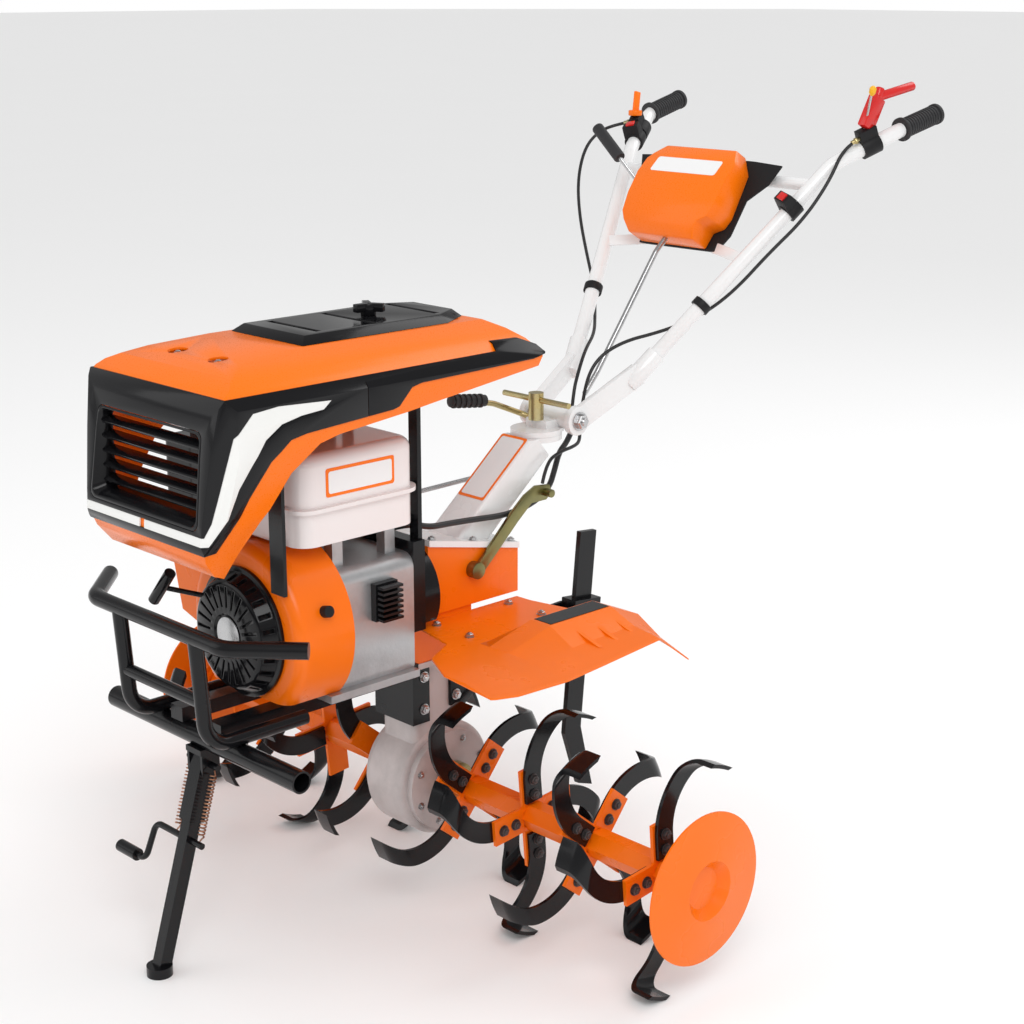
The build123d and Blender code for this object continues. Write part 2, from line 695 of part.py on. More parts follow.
def hood_volume(inset, skirt):
    """The hood as a solid, inset all round for its inside. The inside runs down past the skirt."""
    points = hood_side_points() + (hood_skirt_points() if skirt else [(-99, 600), (522, 600)])
    side = make_face(Polyline(*points, close=True))
    front = hood_front_face()
    if inset:
        side = offset(side, -inset)
        front = offset(front, -inset)
    along_y = extrude(Rot(90, 0, 0) * side, amount=300, both=True)
    along_x = extrude(Plane(origin=(0, 0, 0), x_dir=(0, 1, 0), z_dir=(1, 0, 0)) * front, amount=800, both=True)
    return along_y & along_x


def hood_shell():
    """The orange shell, open below, with the grille opening and the lid opening."""
    shell = hood_volume(0, True) - hood_volume(HOOD_WALL, False)
    grille_hole = block((480, 600), (-128, 128), (716, 866))
    lid_hole = block((LID_X[0] + 20, LID_X[1] - 20), (-LID_HALF_Y + 16, LID_HALF_Y - 16), (900, 1000))
    return shell - grille_hole - lid_hole


def grille():
    """The black surround and louvres in the front opening."""
    frame = block((512, 524), (-127.7, 127.7), (716.3, 865.7)) - block((500, 540), (-116, 116), (728, 854))
    for number in range(5):
        z = 742 + 24 * number
        louvre = Pos(518, 0, z) * (Rot(0, 28, 0) * Box(16, 234, 4))
        frame += louvre
    return frame


def hood_lid():
    """The black lift-off panel on the hood's top."""
    panel = block(LID_X, (-LID_HALF_Y, LID_HALF_Y), (LID_SEAT_Z, LID_SEAT_Z + LID_T))
    return fillet(panel.edges().filter_by(Axis.Z), 12)


def lid_knob():
    """The star knob on the panel."""
    knob = rod((110, 0, LID_SEAT_Z + LID_T), (110, 0, LID_SEAT_Z + LID_T + 22), 20)
    return knob


def hood_posts():
    """The flat posts that carry the hood, two on the shroud and two on the clutch housing."""
    top = 944
    posts = []
    for y in (-112, 80):
        posts.append(block((SHROUD_X[1], SHROUD_X[1] + 6), (y, y + 32), (590, top - 7.7)))
    for y in (-92, 72):
        posts.append(block((ENGINE_X[0] - CLUTCH_PLATE_T, ENGINE_X[0] - CLUTCH_PLATE_T + 8), (y, y + 20), (618, top)))
    return posts


# Handlebar


def swivel_head():
    """The turning plate, its neck and the barrel that the handlebar's arms pivot on."""
    x, z = TILT_PIVOT
    base = SWIVEL_Z + SEAT_GAP
    plate = rod((SWIVEL_X, 0, base), (SWIVEL_X, 0, base + SWIVEL_T), SWIVEL_R)
    barrel = y_cylinder(x, z, BARREL_R, (-BARREL_HALF_Y, BARREL_HALF_Y))
    neck = block((x, SWIVEL_X), (-24, 24), (base, base + SWIVEL_T + 14))
    head = plate + barrel + neck
    pin_end = BARREL_HALF_Y + SEAT_GAP + ARM_T + 6
    head += y_cylinder(x, z, 8, (-pin_end, pin_end))
    return head


def t_bolt():
    """The clamping bolt on the swivel's axis, with its cross bar."""
    base = SWIVEL_Z + SEAT_GAP + SWIVEL_T + 14
    bolt = rod((SWIVEL_X, 0, base), (SWIVEL_X, 0, 788), 13)
    bar = y_cylinder(SWIVEL_X, 776, 5, (-78, 78))
    return bolt + bar


def handle_arm():
    """The left arm from its boss on the barrel to the tube's socket."""
    x, z = TILT_PIVOT
    inner = BARREL_HALF_Y + SEAT_GAP
    boss = y_cylinder(x, z, ARM_BOSS_R, (inner, inner + ARM_T))
    start = (x, inner + ARM_T / 2, z)
    strap = rod(start, ARM_END, ARM_T / 2)
    socket_dir = Vector(*TUBE_BEND) - Vector(*ARM_END)
    back = Vector(*ARM_END) - socket_dir.normalized() * 20
    ahead = Vector(*ARM_END) + socket_dir.normalized() * 46
    socket = rod(back, ahead, SOCKET_R)
    hole = y_cylinder(x, z, 8 + RUNNING_GAP, (0, 100))
    return boss + strap + socket - hole


def handle_tube():
    """The left tube from the socket over the bend to the grip's end."""
    return bent_rod([ARM_END, TUBE_BEND, GRIP_START, GRIP_END], [90, 90], TUBE_R)


def handlebar():
    """Both arms and tubes, the upper cross tube and the lower braces."""
    left = handle_arm() + handle_tube()
    frame = left + mirror(left, about=Plane.XZ)
    frame += y_cylinder(-706, 1120, 11, (-218, 218))
    for side in (-1, 1):
        frame += rod((-584, side * 158, 985), (-584, side * 60, 1040), 7) - dash_cover()
    return frame


def grip():
    """The left rubber grip."""
    start, end = Vector(*GRIP_START), Vector(*GRIP_END)
    axis = (end - start).normalized()
    body = rod(start + axis * 2, end + axis * 4, GRIP_R)
    return body - handle_tube()


def dash_cover():
    """The orange console between the tubes."""
    body = Box(DASH_T, DASH_W, DASH_H)
    body = fillet(body.edges().filter_by(Axis.X), 22)
    return Pos(DASH_MID[0], 0, DASH_MID[1]) * (Rot(0, DASH_PITCH - 90, 0) * body)


def main():
    """Builds every node."""
    os.makedirs("parts", exist_ok=True)
    save("output_shaft", output_shaft())
    save("output_flanges", *both_sides(output_flange()))
    save("hub_tubes", *both_sides(left_hub()))
    tines = left_tines()
    save("tines_left", *tines)
    save("tines_right", *[mirror(blade, about=Plane.XZ) for blade in tines])
    save("end_discs", *both_sides(end_disc()))
    save("gearbox_housing", gearbox_housing())
    save("gearbox_covers", *both_sides(gearbox_cover()))
    save("transmission_box", transmission_box())
    save("box_top_plate", top_plate())
    save("steering_column", steering_column())
    save("shift_arm", shift_arm())
    save("crankcase", crankcase())
    save("clutch_housing", clutch_housing())
    save("fan_shroud", shroud())
    save("recoil_cover", recoil_cover())
    save("starter_grip", starter_grip())
    save("cylinder_head", cylinder_head())
    save("muffler", muffler())
    save("air_cleaner", air_cleaner())
    save("fuel_tank", fuel_tank())
    save("fuel_cap", fuel_cap())
    save("regulator", regulator())
    save("frame_rails", frame_rails())
    save("cross_tube", cross_tube())
    save("bull_bar", bull_bar())
    save("stand_bracket", stand_bracket())
    save("stand_leg", stand_leg())
    save("stand_pedal", stand_pedal())
    save("stand_springs", *stand_springs())
    save("hitch_frame", hitch_frame())
    save("depth_bar", depth_bar())
    save("mudguards", *both_sides(mudguard()))
    save("hood_shell", hood_shell())
    save("grille", grille())
    save("hood_lid", hood_lid())
    save("lid_knob", lid_knob())
    save("hood_posts", *hood_posts())
    save("swivel_head", swivel_head())
    save("t_bolt", t_bolt())
    save("handlebar", handlebar())
    save("grips", *both_sides(grip()))
    save("dash_cover", dash_cover())


main()
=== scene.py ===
"""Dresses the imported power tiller: finishes on every CAD node, and the trim that the solids leave out."""

import json
import logging
import math
from collections.abc import Iterable, Sequence
from dataclasses import dataclass
from enum import Enum

import bmesh
import bpy
from mathutils import Matrix, Vector

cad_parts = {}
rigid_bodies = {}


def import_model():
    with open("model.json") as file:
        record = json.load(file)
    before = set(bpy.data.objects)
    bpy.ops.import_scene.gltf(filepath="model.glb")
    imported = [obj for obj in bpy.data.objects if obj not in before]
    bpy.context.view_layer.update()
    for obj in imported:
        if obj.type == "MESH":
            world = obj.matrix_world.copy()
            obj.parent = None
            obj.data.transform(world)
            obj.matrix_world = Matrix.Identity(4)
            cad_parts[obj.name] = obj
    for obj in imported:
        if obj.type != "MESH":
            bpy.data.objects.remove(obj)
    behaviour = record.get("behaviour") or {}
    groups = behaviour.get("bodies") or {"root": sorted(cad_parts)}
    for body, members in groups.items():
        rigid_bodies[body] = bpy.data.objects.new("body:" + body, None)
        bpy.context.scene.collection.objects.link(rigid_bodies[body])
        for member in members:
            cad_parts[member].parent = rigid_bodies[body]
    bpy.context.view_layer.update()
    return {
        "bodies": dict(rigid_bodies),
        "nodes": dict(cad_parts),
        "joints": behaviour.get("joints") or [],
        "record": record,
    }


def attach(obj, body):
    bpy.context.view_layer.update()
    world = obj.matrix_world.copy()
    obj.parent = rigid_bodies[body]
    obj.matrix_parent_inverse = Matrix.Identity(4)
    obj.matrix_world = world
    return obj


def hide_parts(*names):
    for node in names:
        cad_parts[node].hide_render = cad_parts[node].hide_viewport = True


LOG = logging.getLogger("tiller")

Point = tuple[float, float, float]
Colour = tuple[float, float, float]


class Body(Enum):
    """The moving bodies of the machine."""

    CHASSIS = "chassis"
    ROTOR = "rotor"
    STAND = "stand"
    BAR = "depth_bar"
    LID = "lid"
    HEAD = "head"
    HANDLEBAR = "handlebar"


class Sock:
    """A shader socket or a number, with arithmetic that adds Math nodes."""

    def __init__(self, tree: bpy.types.NodeTree, value: object) -> None:
        """Wraps a value.

        Args:
            tree: The node tree that new nodes go into.
            value: An output socket or a number.
        """
        self.tree = tree
        self.value = value

    def _math(self, operation: str, *others: object, clamp: bool = False) -> "Sock":
        """Adds one Math node.

        Args:
            operation: The Math node's operation.
            others: The second and third inputs.
            clamp: Whether the result is kept from 0 to 1.

        Returns:
            The node's result.
        """
        node = self.tree.nodes.new("ShaderNodeMath")
        node.operation = operation
        node.use_clamp = clamp
        for socket, item in zip(node.inputs, (self.value, *others)):
            item = item.value if isinstance(item, Sock) else item
            if isinstance(item, bpy.types.NodeSocket):
                self.tree.links.new(item, socket)
            else:
                socket.default_value = float(item)
        return Sock(self.tree, node.outputs[0])

    def __add__(self, other: object) -> "Sock":
        """Adds."""
        return self._math("ADD", other)

    __radd__ = __add__

    def __sub__(self, other: object) -> "Sock":
        """Takes the other from this."""
        return self._math("SUBTRACT", other)

    def __rsub__(self, other: float) -> "Sock":
        """Takes this from the other."""
        return Sock(self.tree, other)._math("SUBTRACT", self)

    def __mul__(self, other: object) -> "Sock":
        """Multiplies."""
        return self._math("MULTIPLY", other)

    __rmul__ = __mul__

    def clamped(self) -> "Sock":
        """Keeps the value from 0 to 1."""
        return self._math("ADD", 0.0, clamp=True)


class Shader:
    """A material's node tree, with one method that makes any node."""

    def __init__(self, name: str) -> None:
        """Starts an empty material.

        Args:
            name: The material's name.
        """
        self.material = bpy.data.materials.new(name)
        self.material.use_nodes = True
        self.tree = self.material.node_tree
        self.tree.nodes.clear()
        self.out = self.node("ShaderNodeOutputMaterial")
        self.bsdf = self.node("ShaderNodeBsdfPrincipled")
        self.tree.links.new(self.bsdf.outputs[0], self.out.inputs[0])

    def node(
        self, kind: str, settings: dict[str, object] | None = None, **values: object
    ) -> bpy.types.Node:
        """Makes a node.

        Args:
            kind: The node's type.
            settings: Properties of the node that are set first, with "stops" for a ramp's stops.
            values: Input names, with underscores for spaces, and their values or links.

        Returns:
            The new node.
        """
        node = self.tree.nodes.new(kind)
        for key, value in (settings or {}).items():
            if key == "stops":
                ramp = node.color_ramp
                while len(ramp.elements) < len(value):
                    ramp.elements.new(1.0)
                for stop, (place, colour) in zip(ramp.elements, value):
                    stop.position = place
                    stop.color = (*colour, 1.0)
            else:
                setattr(node, key, value)
        for key, value in values.items():
            self.feed(node, key.replace("_", " "), value)
        return node

    def feed(self, node: bpy.types.Node, name: str, value: object) -> None:
        """Sets or links one input.

        Args:
            node: The node.
            name: The input's name.
            value: A number, a colour, a socket or a Sock.
        """
        socket = next(s for s in node.inputs if s.name == name and s.enabled)
        value = value.value if isinstance(value, Sock) else value
        if isinstance(value, bpy.types.NodeSocket):
            self.tree.links.new(value, socket)
        elif isinstance(value, tuple) and len(value) == 3 and socket.type == "RGBA":
            socket.default_value = (*value, 1.0)
        else:
            socket.default_value = value

    def surface(self, **values: object) -> None:
        """Sets the shader's own sockets."""
        for key, value in values.items():
            self.feed(self.bsdf, key.replace("_", " "), value)

    def coords(self) -> bpy.types.NodeSocket:
        """Gives the object coordinates."""
        return self.node("ShaderNodeTexCoord").outputs["Object"]

    def noise(self, scale: float, detail: float = 4.0, stretch: Point = (1, 1, 1)) -> Sock:
        """A noise pattern on object coordinates.

        Args:
            scale: Cells to the metre.
            detail: Octaves.
            stretch: The scale along each axis.

        Returns:
            The noise, from 0 to 1.
        """
        place = self.node("ShaderNodeMapping", Vector=self.coords(), Scale=stretch)
        noise = self.node(
            "ShaderNodeTexNoise", Vector=place.outputs[0], Scale=scale, Detail=detail, Roughness=0.55
        )
        return Sock(self.tree, noise.outputs[0])

    def mix(self, factor: object, first: object, second: object) -> bpy.types.NodeSocket:
        """Mixes two colours.

        Args:
            factor: The share of the second.
            first: A colour or link.
            second: A colour or link.

        Returns:
            The mixed colour.
        """
        node = self.tree.nodes.new("ShaderNodeMix")
        node.data_type = "RGBA"
        for index, value in ((0, factor), (6, first), (7, second)):
            value = value.value if isinstance(value, Sock) else value
            if isinstance(value, bpy.types.NodeSocket):
                self.tree.links.new(value, node.inputs[index])
            elif isinstance(value, tuple):
                node.inputs[index].default_value = (*value, 1.0)
            else:
                node.inputs[index].default_value = value
        return node.outputs[2]

    def bump(self, height: Sock, distance: float, strength: float = 1.0) -> None:
        """Drives the normal from a height.

        Args:
            height: The height, from 0 to 1.
            distance: The relief in metres.
            strength: The share of it that is used.
        """
        node = self.node(
            "ShaderNodeBump", Height=height, Distance=distance, Strength=strength
        )
        self.surface(Normal=node.outputs[0])


def shade(colour: Colour, factor: float) -> Colour:
    """Darkens or lightens a colour.

    Args:
        colour: The colour.
        factor: What each channel is multiplied by.

    Returns:
        The changed colour.
    """
    return tuple(min(1.0, channel * factor) for channel in colour)


@dataclass(frozen=True)
class Paint:
    """Sprayed paint with a faint orange peel and dust in its dull patches."""

    name: str
    colour: Colour
    roughness: float = 0.22
    peel: float = 0.00006
    coat: float = 0.5
    mottle: float = 0.06
    specular: float = 0.5

    def make(self) -> bpy.types.Material:
        """Builds the material."""
        shader = Shader(self.name)
        broad = shader.noise(9.0, 3.0)
        fine = shader.noise(420.0, 2.0)
        patches = (broad - 0.35).clamped()
        colour = shader.mix(patches * (self.mottle * 4), self.colour, shade(self.colour, 0.72))
        shader.surface(
            Base_Color=colour,
            Roughness=(patches * 0.22 + (self.roughness - 0.04)).clamped(),
            Coat_Weight=self.coat,
            Coat_Roughness=0.06,
            Specular_IOR_Level=self.specular,
        )
        shader.bump(fine, self.peel, 0.5)
        return shader.material


@dataclass(frozen=True)
class Cast:
    """A sand or die casting, with a pebbled skin and darker pores."""

    name: str
    colour: Colour
    roughness: float = 0.5
    metallic: float = 0.0
    grain: float = 260.0
    relief: float = 0.0004

    def make(self) -> bpy.types.Material:
        """Builds the material."""
        shader = Shader(self.name)
        broad = shader.noise(14.0, 4.0)
        fine = shader.noise(self.grain, 3.0)
        grime = (broad - 0.48).clamped()
        colour = shader.mix(grime * 2.2, self.colour, shade(self.colour, 0.55))
        shader.surface(
            Base_Color=colour,
            Roughness=(fine * 0.25 + (self.roughness - 0.12)).clamped(),
            Metallic=self.metallic,
        )
        shader.bump(fine, self.relief, 0.6)
        return shader.material


@dataclass(frozen=True)
class Moulding:
    """Moulded plastic, glossy or dull, with a fine grain and light scuffs."""

    name: str
    colour: Colour
    roughness: float = 0.3
    grain: float = 900.0
    relief: float = 0.00005
    coat: float = 0.0
    specular: float = 0.5

    def make(self) -> bpy.types.Material:
        """Builds the material."""
        shader = Shader(self.name)
        fine = shader.noise(self.grain, 2.0)
        scuff = (shader.noise(38.0, 6.0, (1, 6, 1)) - 0.6).clamped()
        colour = shader.mix(scuff * 0.6, self.colour, shade(self.colour, 1.6))
        shader.surface(
            Base_Color=colour,
            Roughness=(scuff * 0.8 + (fine * 0.06 + (self.roughness - 0.03))).clamped(),
            Coat_Weight=self.coat,
            Coat_Roughness=0.08,
            Specular_IOR_Level=self.specular,
        )
        shader.bump(fine, self.relief, 0.5)
        return shader.material


@dataclass(frozen=True)
class Plated:
    """Plated or bare steel, streaked and slightly rainbowed."""

    name: str
    colour: Colour
    tint: Colour
    roughness: float = 0.3
    streak: Point = (1, 1, 1)

    def make(self) -> bpy.types.Material:
        """Builds the material."""
        shader = Shader(self.name)
        broad = shader.noise(30.0, 3.0, self.streak)
        fine = shader.noise(600.0, 2.0, self.streak)
        colour = shader.mix((broad * 1.6 - 0.3).clamped(), self.colour, self.tint)
        shader.surface(
            Base_Color=colour,
            Metallic=1.0,
            Roughness=(fine * 0.2 + (self.roughness - 0.1)).clamped(),
        )
        shader.bump(fine, 0.00005, 0.4)
        return shader.material


FINISHES: dict[str, Paint | Cast | Moulding | Plated] = {
    "orange_paint": Paint("orange_paint", (0.90, 0.160, 0.001), 0.3, coat=0.05, specular=0.3),
    "orange_plastic": Moulding("orange_plastic", (0.92, 0.170, 0.001), 0.28, 500.0, 0.00004, 0.05, 0.3),
    "white_paint": Paint("white_paint", (0.80, 0.80, 0.80), 0.26, mottle=0.03),
    "tank_paint": Paint("tank_paint", (0.80, 0.74, 0.73), 0.18, mottle=0.03),
    "black_paint": Paint("black_paint", (0.005, 0.005, 0.006), 0.24, 0.0001, 0.1, specular=0.25),
    "tine_black": Paint("tine_black", (0.005, 0.005, 0.006), 0.2, 0.0001, 0.12, specular=0.25),
    "black_plastic": Moulding("black_plastic", (0.005, 0.005, 0.006), 0.16, 700.0, 0.00003, 0.1, 0.22),
    "dull_black": Moulding("dull_black", (0.012, 0.012, 0.013), 0.5, 400.0, 0.0002, specular=0.25),
    "rubber_grip": Moulding("rubber_grip", (0.022, 0.022, 0.024), 0.62, 500.0, 0.0002),
    "cast_grey": Cast("cast_grey", (0.56, 0.50, 0.49), 0.42),
    "cast_aluminium": Cast("cast_aluminium", (0.55, 0.56, 0.57), 0.42, 0.85, 200.0, 0.0005),
    "dark_steel": Cast("dark_steel", (0.11, 0.10, 0.10), 0.5, 0.8),
    "bright_steel": Plated("bright_steel", (0.60, 0.60, 0.60), (0.45, 0.45, 0.46), 0.28),
    "yellow_zinc": Plated("yellow_zinc", (0.56, 0.42, 0.16), (0.48, 0.45, 0.28), 0.3),
    "olive_zinc": Plated("olive_zinc", (0.30, 0.26, 0.10), (0.20, 0.20, 0.10), 0.34),
    "copper_spring": Plated("copper_spring", (0.56, 0.28, 0.16), (0.42, 0.22, 0.15), 0.32),
    "pale_lens": Moulding("pale_lens", (0.78, 0.78, 0.76), 0.2, 500.0, 0.00003, 0.4),
    "label_white": Moulding("label_white", (0.82, 0.82, 0.82), 0.34),
    "yellow_plastic": Moulding("yellow_plastic", (0.85, 0.45, 0.01), 0.35),
    "cable_black": Moulding("cable_black", (0.014, 0.014, 0.015), 0.4),
    "red_paint": Moulding("red_paint", (0.62, 0.012, 0.010), 0.24, 500.0, 0.00003, 0.3),
}


MM = 0.001
ORIGIN_X = 188.0  # from the frame's origin back to the rotor axle, in millimetres
FLAT = 1e-3  # points closer than this are one, in millimetres
SMOOTH = 0.6  # the largest turn between faces that is shaded as smooth, in radians
Flat = tuple[float, float]


def linked(name: str, data: bpy.types.ID | None) -> bpy.types.Object:
    """Makes an object and links it to the scene.

    Args:
        name: The object's name.
        data: Its mesh, curve, light or camera.

    Returns:
        The new object.
    """
    thing = bpy.data.objects.new(name, data)
    bpy.context.scene.collection.objects.link(thing)
    return thing


def evaluated(thing: bpy.types.Object) -> bpy.types.Mesh:
    """Reads an object's mesh with its modifiers applied."""
    graph = bpy.context.evaluated_depsgraph_get()
    return bpy.data.meshes.new_from_object(thing.evaluated_get(graph))


def local(point: Iterable[float]) -> Vector:
    """Turns millimetres forward of the rotor axle into metres in the shared frame."""
    x, y, z = point
    return Vector(((x + ORIGIN_X) * MM, y * MM, z * MM))


class Solid:
    """A closed mesh in millimetres forward of the rotor axle, with booleans as operators."""

    def __init__(self, mesh: bpy.types.Mesh) -> None:
        """Wraps a mesh.

        Args:
            mesh: A closed mesh.
        """
        self.mesh = mesh

    @classmethod
    def of(cls, verts: Iterable[Iterable[float]], faces: Sequence[Sequence[int]]) -> "Solid":
        """Makes a solid with its faces turned outwards.

        Args:
            verts: The corners.
            faces: Each face's corners, by their numbers.

        Returns:
            The solid, without double points or faces of no area.
        """
        mesh = bpy.data.meshes.new("solid")
        mesh.from_pydata([tuple(vert) for vert in verts], [], faces)
        work = bmesh.new()
        work.from_mesh(mesh)
        bmesh.ops.remove_doubles(work, verts=work.verts, dist=FLAT)
        bmesh.ops.dissolve_degenerate(work, dist=FLAT, edges=work.edges)
        bmesh.ops.recalc_face_normals(work, faces=work.faces)
        work.to_mesh(mesh)
        work.free()
        return cls(mesh)

    def _boolean(self, other: "Solid", operation: str) -> "Solid":
        """Combines two solids with the exact boolean.

        Args:
            other: The second solid.
            operation: UNION, INTERSECT or DIFFERENCE.

        Returns:
            The result.
        """
        first, second = linked("first", self.mesh), linked("second", other.mesh)
        modifier = first.modifiers.new("boolean", "BOOLEAN")
        modifier.operation = operation
        modifier.solver = "EXACT"
        modifier.object = second
        result = evaluated(first)
        bpy.data.objects.remove(first)
        bpy.data.objects.remove(second)
        return Solid(result)

    def __and__(self, other: "Solid") -> "Solid":
        """Keeps what both share."""
        return self._boolean(other, "INTERSECT")

    def __sub__(self, other: "Solid") -> "Solid":
        """Cuts the other away."""
        return self._boolean(other, "DIFFERENCE")

    def __add__(self, other: "Solid") -> "Solid":
        """Lays the other beside this in one mesh."""
        return joined([self, other])

    def moved(self, matrix: Matrix) -> "Solid":
        """Gives a moved copy.

        Args:
            matrix: The move, in millimetres.

        Returns:
            The copy.
        """
        mesh = self.mesh.copy()
        mesh.transform(matrix)
        return Solid(mesh)

    def mirrored(self) -> "Solid":
        """Gives the mirror image across the machine's middle plane."""
        mesh = self.mesh.copy()
        mesh.transform(Matrix.Scale(-1, 4, (0, 1, 0)))
        mesh.flip_normals()
        return Solid(mesh)

    def both(self) -> "Solid":
        """Adds the mirror image."""
        return self + self.mirrored()


def joined(solids: Iterable[Solid]) -> Solid:
    """Lays solids beside each other in one mesh.

    Args:
        solids: The solids, which stay as they are.

    Returns:
        Them all as one.
    """
    work = bmesh.new()
    for solid in solids:
        work.from_mesh(solid.mesh)
    mesh = bpy.data.meshes.new("solid")
    work.to_mesh(mesh)
    work.free()
    return Solid(mesh)


def stack(rings: Sequence[Sequence[Iterable[float]]]) -> Solid:
    """Skins closed rings that have as many points each, with a flat cap at both ends.

    Args:
        rings: The rings, in order along the shape.

    Returns:
        The solid between the first ring and the last.
    """
    count = len(rings[0])
    last = (len(rings) - 1) * count
    faces = [tuple(range(count))[::-1], tuple(range(last, last + count))]
    for row in range(len(rings) - 1):
        for i in range(count):
            a, b = row * count + i, row * count + (i + 1) % count
            faces.append((a, b, b + count, a + count))
    return Solid.of([point for one in rings for point in one], faces)


def circle(radius: float, sides: int) -> list[Flat]:
    """The points of a circle round nothing."""
    turns = [math.tau * i / sides for i in range(sides)]
    return [(radius * math.cos(turn), radius * math.sin(turn)) for turn in turns]


def prism(loop: Sequence[Iterable[float]], push: Point) -> Solid:
    """Pushes a closed outline along a vector.

    Args:
        loop: The outline's points, all in one plane.
        push: How far it is pushed along each axis.

    Returns:
        The prism.
    """
    base = [Vector(point) for point in loop]
    return stack([base, [point + Vector(push) for point in base]])


def side_prism(points: Sequence[Flat], low: float, high: float) -> Solid:
    """A prism across the machine from an outline of x and z."""
    return prism([(x, low, z) for x, z in points], (0, high - low, 0))


def front_prism(points: Sequence[Flat], low: float, high: float) -> Solid:
    """A prism along the machine from an outline of y and z."""
    return prism([(low, y, z) for y, z in points], (high - low, 0, 0))


def plan_prism(points: Sequence[Flat], low: float, high: float) -> Solid:
    """A prism upwards from an outline of x and y."""
    return prism([(x, y, low) for x, y in points], (0, 0, high - low))


def block(x: Flat, y: Flat, z: Flat) -> Solid:
    """A box from three pairs of limits."""
    return plan_prism([(x[0], y[0]), (x[1], y[0]), (x[1], y[1]), (x[0], y[1])], z[0], z[1])


def inset(points: Sequence[Flat], distance: float) -> list[Flat]:
    """Moves every edge of an outline inwards, or outwards for a distance below nothing.

    Args:
        points: The outline.
        distance: How far each edge moves.

    Returns:
        The new outline, with as many points.
    """
    corners = [Vector(point) for point in points]
    after = corners[1:] + corners[:1]
    before = corners[-1:] + corners[:-1]
    area = sum(first.cross(second) for first, second in zip(corners, after))
    turn = math.copysign(1.0, area)
    moved = []
    for last, at, following in zip(before, corners, after):
        back = (at - last).normalized()
        ahead = (following - at).normalized()
        first = Vector((-back.y, back.x)) * turn
        second = Vector((-ahead.y, ahead.x)) * turn
        moved.append(tuple(at + (first + second) * (distance / max(0.2, 1 + first.dot(second)))))
    return moved


def turned(axis: Vector) -> Matrix:
    """The rotation that takes Z to a direction."""
    return axis.to_track_quat("Z", "Y").to_matrix().to_4x4()


def lathe(profile: Sequence[Flat], origin: Point, axis: Point, sides: int = 48) -> Solid:
    """Turns a profile, with both of its ends closed by flat caps.

    Args:
        profile: Pairs of radius and height.
        origin: Where the height is nothing.
        axis: The way the height grows.
        sides: How many sides the round has.

    Returns:
        The turned solid.
    """
    rings = [[(x, y, height) for x, y in circle(radius, sides)] for radius, height in profile]
    return stack(rings).moved(Matrix.Translation(origin) @ turned(Vector(axis)))


def bar(start: Iterable[float], end: Iterable[float], radius: float, sides: int = 32) -> Solid:
    """A round bar between two points."""
    start, end = Vector(start), Vector(end)
    return lathe([(radius, 0), (radius, (end - start).length)], tuple(start), tuple(end - start), sides)


def strap(start: Iterable[float], end: Iterable[float], width: float, thick: float, across: Point) -> Solid:
    """A flat bar between two points.

    Args:
        start: Its first end.
        end: Its other end.
        width: Its width.
        thick: Its thickness.
        across: The direction of its width.

    Returns:
        The bar.
    """
    start, end, wide = Vector(start), Vector(end), Vector(across)
    axis = (end - start).normalized()
    wide = (wide - axis * wide.dot(axis)).normalized() * (width / 2)
    deep = axis.cross(wide).normalized() * (thick / 2)
    loop = [start - wide - deep, start + wide - deep, start + wide + deep, start - wide + deep]
    return prism(loop, end - start)


def rounded(points: Sequence[Point], radii: Sequence[float], steps: int = 10) -> list[Vector]:
    """The line of a bent rod: straight runs with an arc at each corner.

    Args:
        points: The corners and both ends.
        radii: The bend at each corner.
        steps: How many steps each arc has.

    Returns:
        Close points along the rod.
    """
    nodes = [Vector(point) for point in points]
    line = [nodes[0]]
    for before, at, after, radius in zip(nodes, nodes[1:], nodes[2:], radii):
        back, ahead = (before - at).normalized(), (after - at).normalized()
        half = back.angle(ahead) / 2
        centre = at + (back + ahead).normalized() * (radius / math.sin(half))
        start = at + back * (radius / math.tan(half)) - centre
        end = at + ahead * (radius / math.tan(half)) - centre
        spin = start.cross(end)
        for step in range(steps + 1):
            line.append(centre + Matrix.Rotation(start.angle(end) * step / steps, 3, spin) @ start)
    return line + [nodes[-1]]


def pipe(line: Sequence[Vector], radius: float, sides: int = 20) -> Solid:
    """A round bar along a line.

    Args:
        line: Close points along it.
        radius: The bar's radius.
        sides: How many sides the round has.

    Returns:
        The bar, with flat ends.
    """
    ahead = line[1:] + line[-1:]
    behind = line[:1] + line[:-1]
    side = (ahead[0] - behind[0]).normalized().orthogonal()
    rings = []
    for before, at, after in zip(behind, line, ahead):
        tangent = (after - before).normalized()
        side = (side - tangent * side.dot(tangent)).normalized()
        other = tangent.cross(side)
        rings.append([at + side * x + other * y for x, y in circle(radius, sides)])
    return stack(rings)


def rounded_box(wide: float, high: float, radius: float, steps: int = 5) -> list[Flat]:
    """A rectangle's outline with round corners.

    Args:
        wide: Its width.
        high: Its height.
        radius: The corners' radius.
        steps: How many steps each corner has.

    Returns:
        The outline, round its middle.
    """
    points = []
    for corner, (sx, sy) in enumerate(((1, 1), (-1, 1), (-1, -1), (1, -1))):
        for step in range(steps + 1):
            angle = math.pi / 2 * (corner + step / steps)
            points.append((
                sx * (wide / 2 - radius) + radius * math.cos(angle),
                sy * (high / 2 - radius) + radius * math.sin(angle),
            ))
    return points


